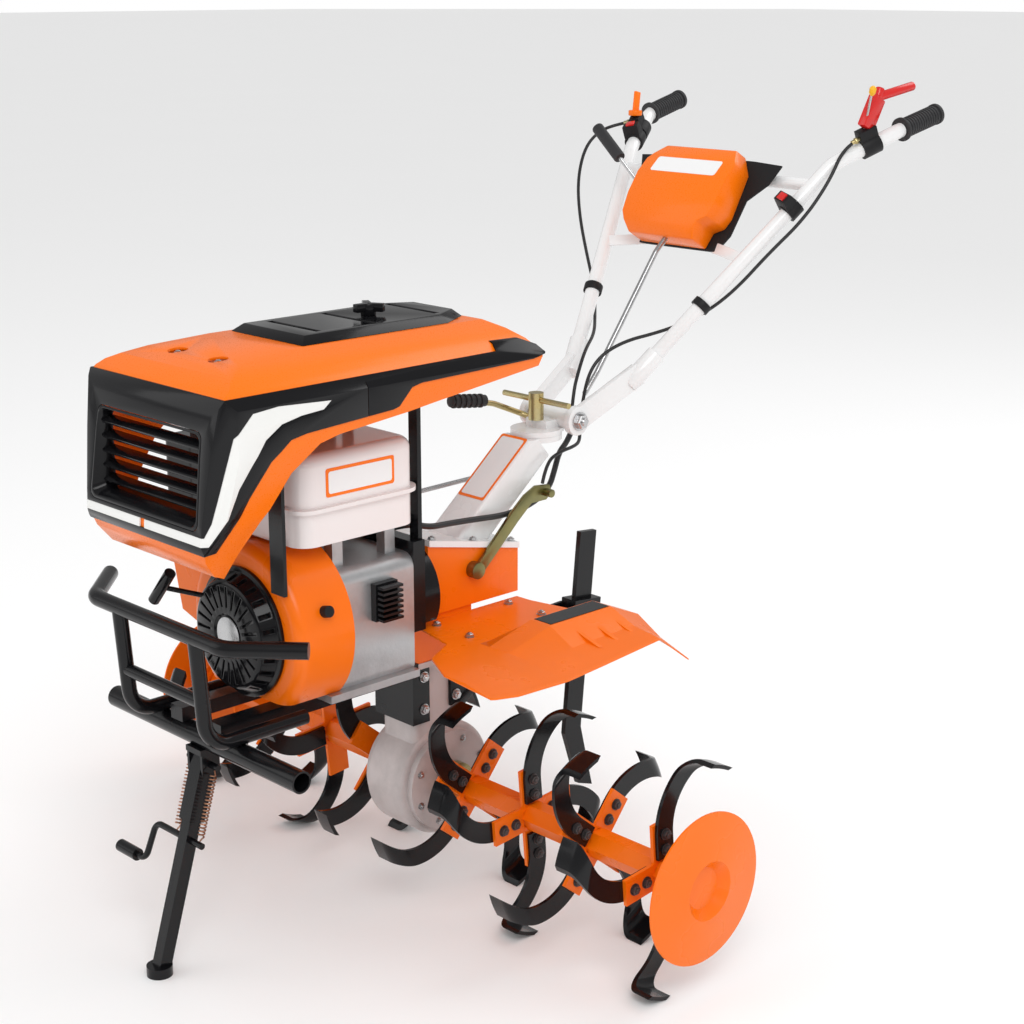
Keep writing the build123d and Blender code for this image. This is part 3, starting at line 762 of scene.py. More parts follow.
class Workshop:
    """Makes the scene's own pieces from solids, and repeats small parts with Geometry Nodes."""

    def __init__(self, materials: dict[str, bpy.types.Material]) -> None:
        """Keeps the finishes.

        Args:
            materials: The finishes by their slot.
        """
        self.materials = materials

    def piece(
        self,
        name: str,
        solid: Solid,
        slot: str,
        body: Body,
        stands_for: Sequence[str] = (),
        bevel: float = 0.8,
        smooth: float = SMOOTH,
    ) -> bpy.types.Object:
        """Makes one piece of the visual model.

        Args:
            name: The piece's name.
            solid: Its shape.
            slot: Its finish.
            body: The body that it rides on.
            stands_for: The CAD nodes that it replaces.
            bevel: The width of the round on its sharp edges, in millimetres.
            smooth: The largest turn that is shaded as smooth, in radians.

        Returns:
            The finished object.
        """
        mesh = solid.mesh.copy()
        mesh.transform(Matrix.Scale(MM, 4) @ Matrix.Translation((ORIGIN_X, 0, 0)))
        if bevel:
            work = linked("work", mesh)
            modifier = work.modifiers.new("bevel", "BEVEL")
            modifier.width = bevel * MM
            modifier.segments = 2
            modifier.limit_method = "ANGLE"
            modifier.angle_limit = SMOOTH
            mesh = evaluated(work)
            bpy.data.objects.remove(work)
        mesh.name = name
        for polygon in mesh.polygons:
            polygon.use_smooth = True
        mesh.set_sharp_from_angle(angle=smooth)
        mesh.materials.clear()
        mesh.materials.append(self.materials[slot])
        piece = linked(name, mesh)
        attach(piece, body.value)
        if stands_for:
            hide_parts(*stands_for)
        LOG.info("made %s with %d faces", name, len(mesh.polygons))
        return piece

    def cable(self, name: str, route: Sequence[Point], diameter: float, body: Body) -> None:
        """Makes a cable as a smooth curve through its route.

        Args:
            name: The piece's name.
            route: The control points, in millimetres forward of the axle.
            diameter: In millimetres.
            body: The body that it rides on.
        """
        curve = bpy.data.curves.new(name, "CURVE")
        curve.dimensions = "3D"
        curve.bevel_depth = diameter / 2 * MM
        curve.bevel_resolution = 4
        curve.use_fill_caps = True
        spline = curve.splines.new("NURBS")
        spline.points.add(len(route) - 1)
        for point, place in zip(spline.points, route):
            point.co = (*local(place), 1.0)
        spline.order_u = 3
        spline.use_endpoint_u = True
        spline.resolution_u = 12
        curve.materials.append(self.materials["cable_black"])
        piece = linked(name, curve)
        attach(piece, body.value)
        tuple(local(route[0]))

    def bolts(self, name: str, places: Sequence[tuple[Point, Point, float]], slot: str, body: Body) -> None:
        """Repeats a hexagon bolt head over places, with Geometry Nodes.

        Args:
            name: The piece's name.
            places: For each bolt its seat, the way it points and its width across corners, in millimetres.
            slot: The finish.
            body: The body that they ride on.
        """
        origin, up = (0, 0, 0), (0, 0, 1)
        washer = lathe([(0.62, 0), (0.62, 0.1)], origin, up, 20)
        head = lathe([(0.5, 0.1), (0.5, 0.38), (0.42, 0.44)], origin, up, 6)
        tip = lathe([(0.26, 0.44), (0.26, 0.52), (0.2, 0.58)], origin, up, 14)
        source = linked("bolt_source", joined([washer, head, tip]).mesh)
        points = bpy.data.meshes.new(name)
        points.from_pydata([local(at) for at, _, _ in places], [], [])
        points.attributes.new("aim", "FLOAT_VECTOR", "POINT")
        points.attributes.new("size", "FLOAT", "POINT")
        aims, sizes = points.attributes["aim"], points.attributes["size"]
        for index, (_, way, size) in enumerate(places):
            aims.data[index].vector = Vector(way).to_track_quat("Z", "Y").to_euler()
            sizes.data[index].value = size * MM
        carrier = linked(name, points)
        modifier = carrier.modifiers.new("bolts", "NODES")
        modifier.node_group, names = self.bolt_tree()
        modifier[names["Part"]] = source
        modifier[names["Finish"]] = self.materials[slot]
        mesh = evaluated(carrier)
        carrier.modifiers.clear()
        bpy.data.objects.remove(carrier)
        bpy.data.objects.remove(source)
        mesh.materials.clear()
        mesh.materials.append(self.materials[slot])
        piece = linked(name, mesh)
        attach(piece, body.value)

    def bolt_tree(self) -> tuple[bpy.types.NodeTree, dict[str, str]]:
        """Builds the node tree that sets a part on every point.

        Returns:
            The tree, and its inputs' identifiers by their names.
        """
        tree = bpy.data.node_groups.new("repeat", "GeometryNodeTree")
        names = {}
        for title, kind in (
            ("Geometry", "NodeSocketGeometry"),
            ("Part", "NodeSocketObject"),
            ("Finish", "NodeSocketMaterial"),
        ):
            names[title] = tree.interface.new_socket(title, in_out="INPUT", socket_type=kind).identifier
        tree.interface.new_socket("Geometry", in_out="OUTPUT", socket_type="NodeSocketGeometry")
        begin, end = tree.nodes.new("NodeGroupInput"), tree.nodes.new("NodeGroupOutput")
        part = tree.nodes.new("GeometryNodeObjectInfo")
        repeat = tree.nodes.new("GeometryNodeInstanceOnPoints")
        read = []
        for title, kind in (("aim", "FLOAT_VECTOR"), ("size", "FLOAT")):
            node = tree.nodes.new("GeometryNodeInputNamedAttribute")
            node.data_type = kind
            node.inputs["Name"].default_value = title
            read.append(node)
        aim, size = read
        real = tree.nodes.new("GeometryNodeRealizeInstances")
        paint = tree.nodes.new("GeometryNodeSetMaterial")
        for source, target in (
            (begin.outputs["Part"], part.inputs["Object"]),
            (begin.outputs["Geometry"], repeat.inputs["Points"]),
            (part.outputs["Geometry"], repeat.inputs["Instance"]),
            (aim.outputs[0], repeat.inputs["Rotation"]),
            (size.outputs[0], repeat.inputs["Scale"]),
            (repeat.outputs[0], real.inputs[0]),
            (real.outputs[0], paint.inputs["Geometry"]),
            (begin.outputs["Finish"], paint.inputs["Material"]),
            (paint.outputs[0], end.inputs[0]),
        ):
            tree.links.new(source, target)
        return tree, names


CLUTCH_CABLE = [
    (-773.6, 263.7, 1197), (-747.4, 251.4, 1184.1), (-714, 250, 1130), (-668, 232, 1065), (-622, 196, 1008),
    (-580, 164, 950), (-552, 130, 912), (-520, 100, 888), (-470, 80, 874), (-412, 52, 862), (-362, 36, 836),
    (-336, 32, 786), (-326, 34, 722),
]
THROTTLE_CABLE = [
    (-778.6, -273.3, 1199.4), (-765.6, -304.5, 1193), (-726, -314, 1180), (-680, -304, 1152),
    (-636, -278, 1100), (-606, -244, 1040), (-584, -204, 976), (-562, -160, 914),
    (-520, -118, 872), (-464, -66, 854), (-404, -30, 838), (-364, -8, 806), (-340, 4, 776),
    (-330, 8, 722),
]
SELECTOR_CABLE = [
    (-326, 34, 709), (-318, 42, 700), (-296, 51, 696), (-262, 50, 692), (-228, 52, 680),
    (-208, 62.5, 648.9),
]
LOOM_CABLE = [
    (-330, 8, 706), (-318, 12, 694), (-288, 22, 682), (-262, 38, 660), (-236, 50, 632), (-190, 52, 612),
    (-130, 52, 606), (-66, 52, 612), (0, 56, 618), (44, 62, 622), (84, 60, 636), (123.6, 60, 636),
]


@dataclass
class Hood:
    """The hood: orange shell, black band, pale strip, funnel grille, lid and knob."""

    half_y: float = 176.0
    top: float = 951.0
    front: float = 534.0
    wall: float = 4.0
    corner: float = 34.0
    seat_gap: float = 0.3
    band_proud: float = 2.4
    strip_proud: float = 3.2
    seam_x: float = 260.0
    recess: Point = (428.0, 50.0, 934.0)
    recess_r: float = 15.0
    grille_half: float = 134.0
    grille_z: Flat = (729.0, 868.0)
    grille_depth: float = 34.0
    grille_taper: float = 28.0
    bars: int = 5
    bar_pitch: float = 22.2
    bar_tilt: float = 24.0
    lid_half: float = 88.0
    lid_x: Flat = (-36.0, 306.0)
    lid_thick: float = 12.0
    lid_slope: float = 14.0
    knob_x: float = 110.0

    def side(self, skirt: bool) -> list[Flat]:
        """The side view's outline.

        Args:
            skirt: Whether it follows the skirt or goes straight down.

        Returns:
            The outline as pairs of x and z.
        """
        upper = [
            (506, 655), (525, 680), (534, 706), (532, 736), (520, 830), (508, 900), (498, 916), (470, 933),
            (437, 943), (340, 951), (-40, 951), (-64, 938), (-99, 902),
        ]
        edge = [
            (-86, 882), (99, 860), (188, 849), (311, 837), (347, 829), (396, 793), (443, 728),
            (474, 676), (488, 648),
        ]
        return upper + (edge if skirt else [(-99, 600), (506, 600)])

    def volume(self, less: float, skirt: bool) -> Solid:
        """The hood as a solid where its three outlines meet.

        Args:
            less: The inset for its inside, or below nothing for a skin.
            skirt: Whether it ends at the skirt.

        Returns:
            The solid.
        """
        half = self.half_y
        front = [
            (50 - half, 640), (34 - half, 690), (12 - half, 745), (-half, 830), (-half, 896),
            (20 - half, 924), (-self.lid_half - 8, self.top),
        ]
        front = front + [(0, self.top + 2)] + [(-y, z) for y, z in reversed(front)]
        wide, nose = half + 1, self.front + 1
        plan = [(-200, -wide), (nose - self.corner * 1.4, -wide), (nose, self.corner - wide)]
        plan += [(x, -y) for x, y in reversed(plan)]
        side, front, plan = (inset(points, less) for points in (self.side(skirt), front, plan))
        return side_prism(side, -300, 300) & front_prism(front, -400, 700) & plan_prism(plan, 500, 1200)

    def funnel(self, grow: float) -> Solid:
        """The opening's inside, which narrows towards the back.

        Args:
            grow: How much wider it is than the opening on each side.

        Returns:
            The solid.
        """
        low, high = self.grille_z
        sections = []
        ends = ((self.front + 6, 0, 14), (self.front - self.grille_depth, self.grille_taper, 10))
        for x, less, radius in ends:
            outline = rounded_box(2 * (self.grille_half + grow) - less, high - low + 2 * grow - less, radius)
            sections.append([(x, y, (low + high) / 2 + z) for y, z in outline])
        return stack(sections)

    def build(self, shop: Workshop) -> None:
        """Makes the hood's pieces.

        Args:
            shop: What makes and finishes the pieces.
        """
        self.shell(shop)
        self.skins(shop)
        self.grille(shop)
        self.lid(shop)

    def shell(self, shop: Workshop) -> None:
        """Makes the orange shell with its two recesses.

        Args:
            shop: What makes and finishes the pieces.
        """
        outer = self.volume(0, True)
        hole = block((-16, 286), (-72, 72), (900, 1000))
        shell = outer - self.volume(self.wall, False) - self.funnel(self.wall + 1) - hole
        x, reach, z = self.recess
        for y in (-reach, reach):
            shell = shell - bar((x, y, z), (x, y, z + 26), self.recess_r)
            shell = shell + (bar((x, y, z - 6), (x, y, z), self.recess_r + 3) & outer)
        shop.piece("hood_orange_shell", shell, "orange_plastic", Body.CHASSIS, ["hood_shell"], 1.2)

    def skins(self, shop: Workshop) -> None:
        """Makes the black band with its seam, and the pale strip with its notch.

        Args:
            shop: What makes and finishes the pieces.
        """
        band = [
            (580, 912), (-5, 914), (-5, 928), (-59, 927), (-120, 903), (-73, 895), (157, 890),
            (176, 886), (201, 861), (213, 858), (372, 848), (400, 843), (434, 817), (469, 769),
            (493, 727), (512, 694), (580, 688),
        ]
        strip = [
            (328, 889), (420, 894), (464, 890), (495, 859), (505, 816), (515, 773), (523, 740),
            (532, 720), (580, 719), (580, 707), (528, 707), (504, 744), (488, 786), (467, 818),
            (444, 850), (416, 868), (382, 875), (342, 878),
        ]
        under = self.volume(-self.seat_gap, True)
        skin = (self.volume(-self.band_proud, True) & side_prism(band, -300, 300)) - under
        skin = skin - self.funnel(self.wall + 1)
        skin = skin - block((self.seam_x - 0.6, self.seam_x + 0.6), (-300, 300), (800, 905))
        skin = skin - side_prism(inset(strip, -self.seat_gap), -300, 300)
        shop.piece("hood_black_band", skin, "black_plastic", Body.CHASSIS, (), 0.5)
        lens = (self.volume(-self.strip_proud, True) & side_prism(strip, -300, 300)) - under
        lens = lens - block((480, 600), (-6, 6), (690, 730))
        shop.piece("hood_pale_strip", lens, "pale_lens", Body.CHASSIS, (), 0.5)

    def grille(self, shop: Workshop) -> None:
        """Makes the funnel with its louvres.

        Args:
            shop: What makes and finishes the pieces.
        """
        frame = (self.funnel(self.wall) - self.funnel(0)) & self.volume(-self.band_proud, True)
        for number in range(self.bars):
            place = Matrix.Translation((self.front - 25, 0, self.grille_z[0] + 25 + self.bar_pitch * number))
            tilt = Matrix.Rotation(math.radians(self.bar_tilt), 4, "Y")
            frame = frame + block((-9, 9), (-122, 122), (-2, 2)).moved(place @ tilt)
        shop.piece("grille_funnel", frame, "black_plastic", Body.CHASSIS, ["grille"], 0.5)

    def lid(self, shop: Workshop) -> None:
        """Makes the lift-off panel and its three-armed knob.

        Args:
            shop: What makes and finishes the pieces.
        """
        half, seat = self.lid_half, self.top + 0.4
        rear, front = self.lid_x
        level = seat + self.lid_thick
        outline = [(front, -half), (rear + 60, -half), (rear, 34 - half)]
        outline += [(x, -y) for x, y in reversed(outline)]
        upper = inset(outline, self.lid_slope)
        panel = stack([[(x, y, seat) for x, y in outline], [(x, y, level) for x, y in upper]])
        for x in (254, 151, 22):
            panel = panel - block((x - 5, x + 5), (28 - half, half - 28), (level - 3, level + 5))
        shop.piece("lid_panel", panel, "black_plastic", Body.LID, ["hood_lid"], 1.0)
        knob = bar((self.knob_x, 0, level), (self.knob_x, 0, level + 18), 12)
        for turn in range(3):
            place = Matrix.Translation((self.knob_x, 0, level + 13))
            arm = block((0, 26), (-6, 6), (-7, 6))
            knob = knob + arm.moved(place @ Matrix.Rotation(math.tau * turn / 3, 4, "Z"))
        shop.piece("lid_star_knob", knob, "black_plastic", Body.LID, ["lid_knob"], 1.5)


@dataclass
class Guards:
    """The two pressed mudguards with their crests, ribs and drooping tails."""

    level: float = 459.0
    thick: float = 3.0
    crest: float = 24.0
    inner: float = 50.3
    crest_y: Flat = (207.0, 250.0)
    ribs: int = 3
    rib_first: float = -74.0
    rib_pitch: float = 42.0
    rib_thick: float = 9.0

    def height(self, x: float, y: float) -> float:
        """The top's height over the guard's level, between the rows of the pressing.

        Args:
            x: The place along the machine.
            y: The place across it.

        Returns:
            The height.
        """
        rows = (
            (-246, (-14, -14, -4, -4, -32, -58)),
            (-180, (0, 0, self.crest, self.crest, 4, -6)),
            (-40, (0, 0, self.crest, self.crest, 0, -12)),
            (50, (0, 0, 0, 0, 0, -8)),
            (200, (0, 0, 0, 0, 0, -6)),
        )
        places = (40, 185, *self.crest_y, 300, 376)
        after = next(i for i in range(1, len(rows)) if x <= rows[i][0])
        (low, first), (high, second) = rows[after - 1], rows[after]
        share = (x - low) / (high - low)
        heights = [a + (b - a) * share for a, b in zip(first, second)]
        last = len(places) - 1
        at = next((i for i in range(1, last) if y <= places[i]), last)
        share = (y - places[at - 1]) / (places[at] - places[at - 1])
        return heights[at - 1] + (heights[at] - heights[at - 1]) * share

    def build(self, shop: Workshop) -> None:
        """Makes both guards, and the blank dark strips on the crests.

        Args:
            shop: What makes and finishes the pieces.
        """
        stations = (
            (193, 356, 362), (186, 252, 366), (150, 183, 377), (88, 150, 379),
            (66, self.inner, 380), (50, self.inner, 380), (-40, self.inner, 366),
            (-160, self.inner, 359), (-161, 86, 359), (-180, 182, 358), (-246, 201, 362),
        )
        sections = []
        for x, inner, outer in stations:
            across = [min(max(y, inner), outer) for y in (inner, 120, 185, *self.crest_y, 300, outer)]
            top = [(x, y, self.level + self.height(x, y)) for y in across]
            sections.append(top + [(x, y, z - self.thick) for x, y, z in reversed(top)])
        guard = stack(sections)
        crest_z = self.level + self.crest
        for number in range(self.ribs):
            x = self.rib_first - self.rib_pitch * number
            wedge = [(246, self.level - 2), (246, crest_z - 2), (326, self.level - 2)]
            guard = guard + prism([(x, y, z) for y, z in wedge], (-self.rib_thick, 0, 0))
        shop.piece("guards", guard.both(), "orange_paint", Body.CHASSIS, ["mudguards"], 1.0, 0.2)
        strip = block((-178, -45), (210, 247), (crest_z, crest_z + 0.8))
        shop.piece("guard_blank_strips", strip.both(), "black_plastic", Body.CHASSIS, (), 0)


@dataclass
class Handle:
    """The handlebar's arms, tubes, console, levers, clamps and cables."""

    pivot: Point = (-297.0, 0.0, 741.0)
    arm_y: Flat = (46.3, 60.3)
    arm_end: Point = (-424.0, 78.0, 808.0)
    bend: Point = (-738.0, 236.0, 1155.0)
    grip_start: Point = (-850.0, 293.5, 1210.0)
    grip_end: Point = (-943.0, 300.0, 1233.0)
    boss_r: float = 25.0
    socket_r: float = 17.0
    tube_r: float = 13.0
    cross_r: float = 11.0
    bend_r: float = 90.0
    gap: float = 0.3
    dash: Point = (-622.0, 0.0, 1096.0)
    dash_pitch: float = 60.0
    dash_half: Flat = (103.0, 89.0)
    dash_back: float = -31.0
    plate_thick: float = 4.0
    clutch_at: float = 0.42
    throttle_at: float = 0.36
    cable_clamp_at: float = 0.31
    near_switch_at: float = 0.76
    far_switch_at: float = 0.13
    clamp_length: float = 34.0
    clutch_tip: Point = (-886.0, 291.0, 1284.0)

    def on_dash(self, solid: Solid) -> Solid:
        """Places a shape drawn with X out of the console's face and Z up along it."""
        tilt = Matrix.Rotation(math.radians(self.dash_pitch - 90), 4, "Y")
        return solid.moved(Matrix.Translation(self.dash) @ tilt)

    def frame(self, start: Point, end: Point, share: float, side: int, out: Point) -> Matrix:
        """A place on a tube, with Z along it and X outwards.

        Args:
            start: The left tube's start.
            end: The left tube's end.
            share: How far along the place is.
            side: 1 for the left tube, -1 for the right one.
            out: Roughly the direction of X.

        Returns:
            The place's matrix.
        """
        a = Vector((start[0], side * start[1], start[2]))
        b = Vector((end[0], side * end[1], end[2]))
        z = (b - a).normalized()
        x = Vector(out)
        x = (x - z * x.dot(z)).normalized()
        turn = Matrix((x, z.cross(x), z)).transposed().to_4x4()
        return Matrix.Translation(a.lerp(b, share)) @ turn

    def run(self, share: float, side: int) -> Matrix:
        """A place on the long straight run."""
        return self.frame(self.arm_end, self.bend, share, side, (0.8, 0, 0.86))

    def hand(self, share: float, side: int) -> Matrix:
        """A place between the bend and the grip."""
        return self.frame(self.bend, self.grip_start, share, side, (0.45, 0, 0.9))

    def build(self, shop: Workshop) -> None:
        """Makes everything on the handlebar.

        Args:
            shop: What makes and finishes the pieces.
        """
        self.tubes(shop)
        self.grips(shop)
        self.console(shop)
        self.mounts(shop)
        self.levers(shop)

    def tubes(self, shop: Workshop) -> None:
        """Makes the arms, the tubes, the cross tube and the braces.

        Args:
            shop: What makes and finishes the pieces.
        """
        x, _, z = self.pivot
        low, high = self.arm_y
        boss = bar((x, low, z), (x, high, z), self.boss_r)
        arm = strap((x, (low + high) / 2, z), self.arm_end, 38, 14, (0.3, 0, -1))
        arm = arm & block((-500, 0), (low, 200), (600, 900))
        end = Vector(self.arm_end)
        way = (Vector(self.bend) - end).normalized()
        socket = bar(end - way * 26, end + way * 46, self.socket_r)
        line = rounded([self.arm_end, self.bend, self.grip_start, self.grip_end], [self.bend_r] * 2)
        brace = strap((-590, 159, 999), (-612, 78, 1008), 20, 4, (-0.5, 0, 0.87))
        left = joined([boss, arm, socket, pipe(line, self.tube_r, 28), brace])
        solid = left.both() + bar((-706, -218, 1120), (-706, 218, 1120), self.cross_r)
        shop.piece("handlebar_tubes", solid, "white_paint", Body.HANDLEBAR, ["handlebar"], 1.0)

    def grips(self, shop: Workshop) -> None:
        """Makes the ribbed rubber grips.

        Args:
            shop: What makes and finishes the pieces.
        """
        start, end = Vector(self.grip_start), Vector(self.grip_end)
        axis = (end - start).normalized()
        parts = [bar(start + axis * 2, end + axis * 4, 16.4), bar(start + axis * 2, start + axis * 7, 21)]
        parts.append(bar(end - axis * 3, end + axis * 4, 18.5))
        for number in range(12):
            at = start + axis * (14 + 6.4 * number)
            parts.append(bar(at, at + axis * 3.4, 17.6))
        shop.piece("ribbed_grips", joined(parts).both(), "rubber_grip", Body.HANDLEBAR, ["grips"], 0.6)

    def console(self, shop: Workshop) -> None:
        """Makes the orange cover with its blank label, and the dark plate behind it.

        Args:
            shop: What makes and finishes the pieces.
        """
        back, (wide, high) = self.dash_back, self.dash_half
        side = [
            (back, -high), (12, -high), (26, 18 - high), (31, -20), (27, 24), (12, high - 22),
            (0, high), (back, high),
        ]
        front = [
            (20 - wide, -high), (wide - 34, -high), (wide - 28, 30 - high), (wide - 8, 40 - high),
            (wide, 60 - high), (wide, high - 34), (wide - 22, high), (22 - wide, high),
            (-wide, high - 34), (-wide, 34 - high),
        ]
        cover = self.on_dash(side_prism(side, -200, 200) & front_prism(front, -200, 200))
        shop.piece("console_cover", cover, "orange_plastic", Body.HANDLEBAR, ["dash_cover"], 3.0)
        lean = Matrix.Rotation(-math.atan2(15, 43), 4, "Y")
        label = front_prism(rounded_box(150, 34, 5), 0, 0.8).moved(Matrix.Translation((20.2, 0, 43)) @ lean)
        shop.piece("console_blank_label", self.on_dash(label), "label_white", Body.HANDLEBAR, (), 0)
        right = [(-92, -high - 2), (-110, -58), (-116, 10), (-150, 44), (-164, high - 8), (-100, high - 4)]
        outline = right + [(-y, z) for y, z in reversed(right)]
        plate = front_prism(outline, back - self.gap - self.plate_thick, back - self.gap)
        for y in (-112, 104):
            plate = plate + block((back - 34, back - 3), (y, y + 8), (48, 78))
        shop.piece("console_plate", self.on_dash(plate), "dull_black", Body.HANDLEBAR)

    def mounts(self, shop: Workshop) -> None:
        """Makes the clamps, the switch boxes with red rockers, the choke's knob and the cables' adjusters.

        Args:
            shop: What makes and finishes the pieces.
        """
        bore = bar((0, 0, -60), (0, 0, 100), self.tube_r + self.gap)
        box = prism([(x, -15, z) for x, z in ((11, 0), (33, 4), (33, 22), (11, 26))], (0, 30, 0))
        switch = (bar((0, 0, 0), (0, 0, 26), self.tube_r + 5) - bore) + (box - bore)
        long = self.clamp_length
        clamp = bar((0, 0, 0), (0, 0, long), self.tube_r + 5) - bore
        clamp = clamp + (block((11, 33), (-10, 10), (0, long)) - bore)
        small = bar((0, 0, 0), (0, 0, 14), self.tube_r + 4) - bore
        near, far = self.run(self.near_switch_at, 1), self.hand(self.far_switch_at, -1)
        places = (
            (switch, near), (switch, far), (small, self.run(self.cable_clamp_at, 1)),
            (small, self.run(self.cable_clamp_at, -1)), (clamp, self.hand(self.clutch_at, 1)),
            (clamp, self.hand(self.throttle_at, -1)),
        )
        solid = joined(part.moved(place) for part, place in places)
        shop.piece("clamps_and_switches", solid, "dull_black", Body.HANDLEBAR, (), 1.0)
        rocker = prism([(32, y, z) for y, z in ((-8, 6), (8, 6), (8, 20), (-8, 20))], (4.5, 0, 0))
        shop.piece("rockers", rocker.moved(near) + rocker.moved(far), "red_paint", Body.HANDLEBAR, (), 1.0)
        stalk = bar((-788, 262, 1206), (-770, 288, 1276), 2)
        knob = lathe([(3, 0), (6, 5), (6, 13), (3, 17)], (-771, 287, 1272), (0.24, 0.35, 0.9), 24)
        shop.piece("choke_stalk", stalk, "bright_steel", Body.HANDLEBAR, (), 0)
        shop.piece("choke_knob", knob, "yellow_plastic", Body.HANDLEBAR, (), 0.5)
        ends = []
        for route in (CLUTCH_CABLE, THROTTLE_CABLE):
            start = Vector(route[0])
            way = (Vector(route[1]) - start).normalized()
            ends += [bar(start - way * 2, start + way * 16, 4), bar(start + way * 4, start + way * 9, 6, 6)]
        shop.piece("cable_adjusters", joined(ends), "yellow_zinc", Body.HANDLEBAR, (), 0.4)

    def levers(self, shop: Workshop) -> None:
        """Makes the clutch, throttle and gear levers and the shift rod.

        Args:
            shop: What makes and finishes the pieces.
        """
        seat = Vector((self.tube_r + 20 + self.gap, 0, self.clamp_length / 2))
        foot = self.hand(self.clutch_at, 1) @ seat
        elbow = foot + Vector((-26, 4, 52))
        lever = [strap(foot, elbow, 30, 18, (0.8, 0, 0.5))]
        lever.append(bar(elbow - Vector((-3, 0, 6)), elbow + Vector((-6, 1, 16)), 8))
        lever.append(bar(elbow, self.clutch_tip, 8))
        shop.piece("clutch_lever_red", joined(lever), "red_paint", Body.HANDLEBAR, (), 3.0)
        foot = self.hand(self.throttle_at, -1) @ seat
        thumb = bar(foot, foot + Vector((0, 0, 10)), 13)
        thumb = thumb + strap(foot, foot + Vector((-12, -6, 44)), 14, 6, (1, 0, 0.2))
        shop.piece("throttle_lever_orange", thumb, "orange_plastic", Body.HANDLEBAR, (), 1.5)
        gear = [(-650.8, -110, 1079.4), (-630, -164, 1146), (-640, -233, 1198)]
        shop.piece("gear_lever_rod", pipe(rounded(gear, [20]), 4), "bright_steel", Body.HANDLEBAR, (), 0)
        shop.piece("gear_lever_grip", bar(gear[1], gear[2], 11), "rubber_grip", Body.HANDLEBAR, (), 3.0)
        shift = rounded([(-582, 0, 1027), (-550, 0, 998), (-403, 0, 802), (-372, 0, 768)], [16, 60])
        shop.piece("shift_rod_long", pipe(shift, 5), "bright_steel", Body.HANDLEBAR, (), 0)


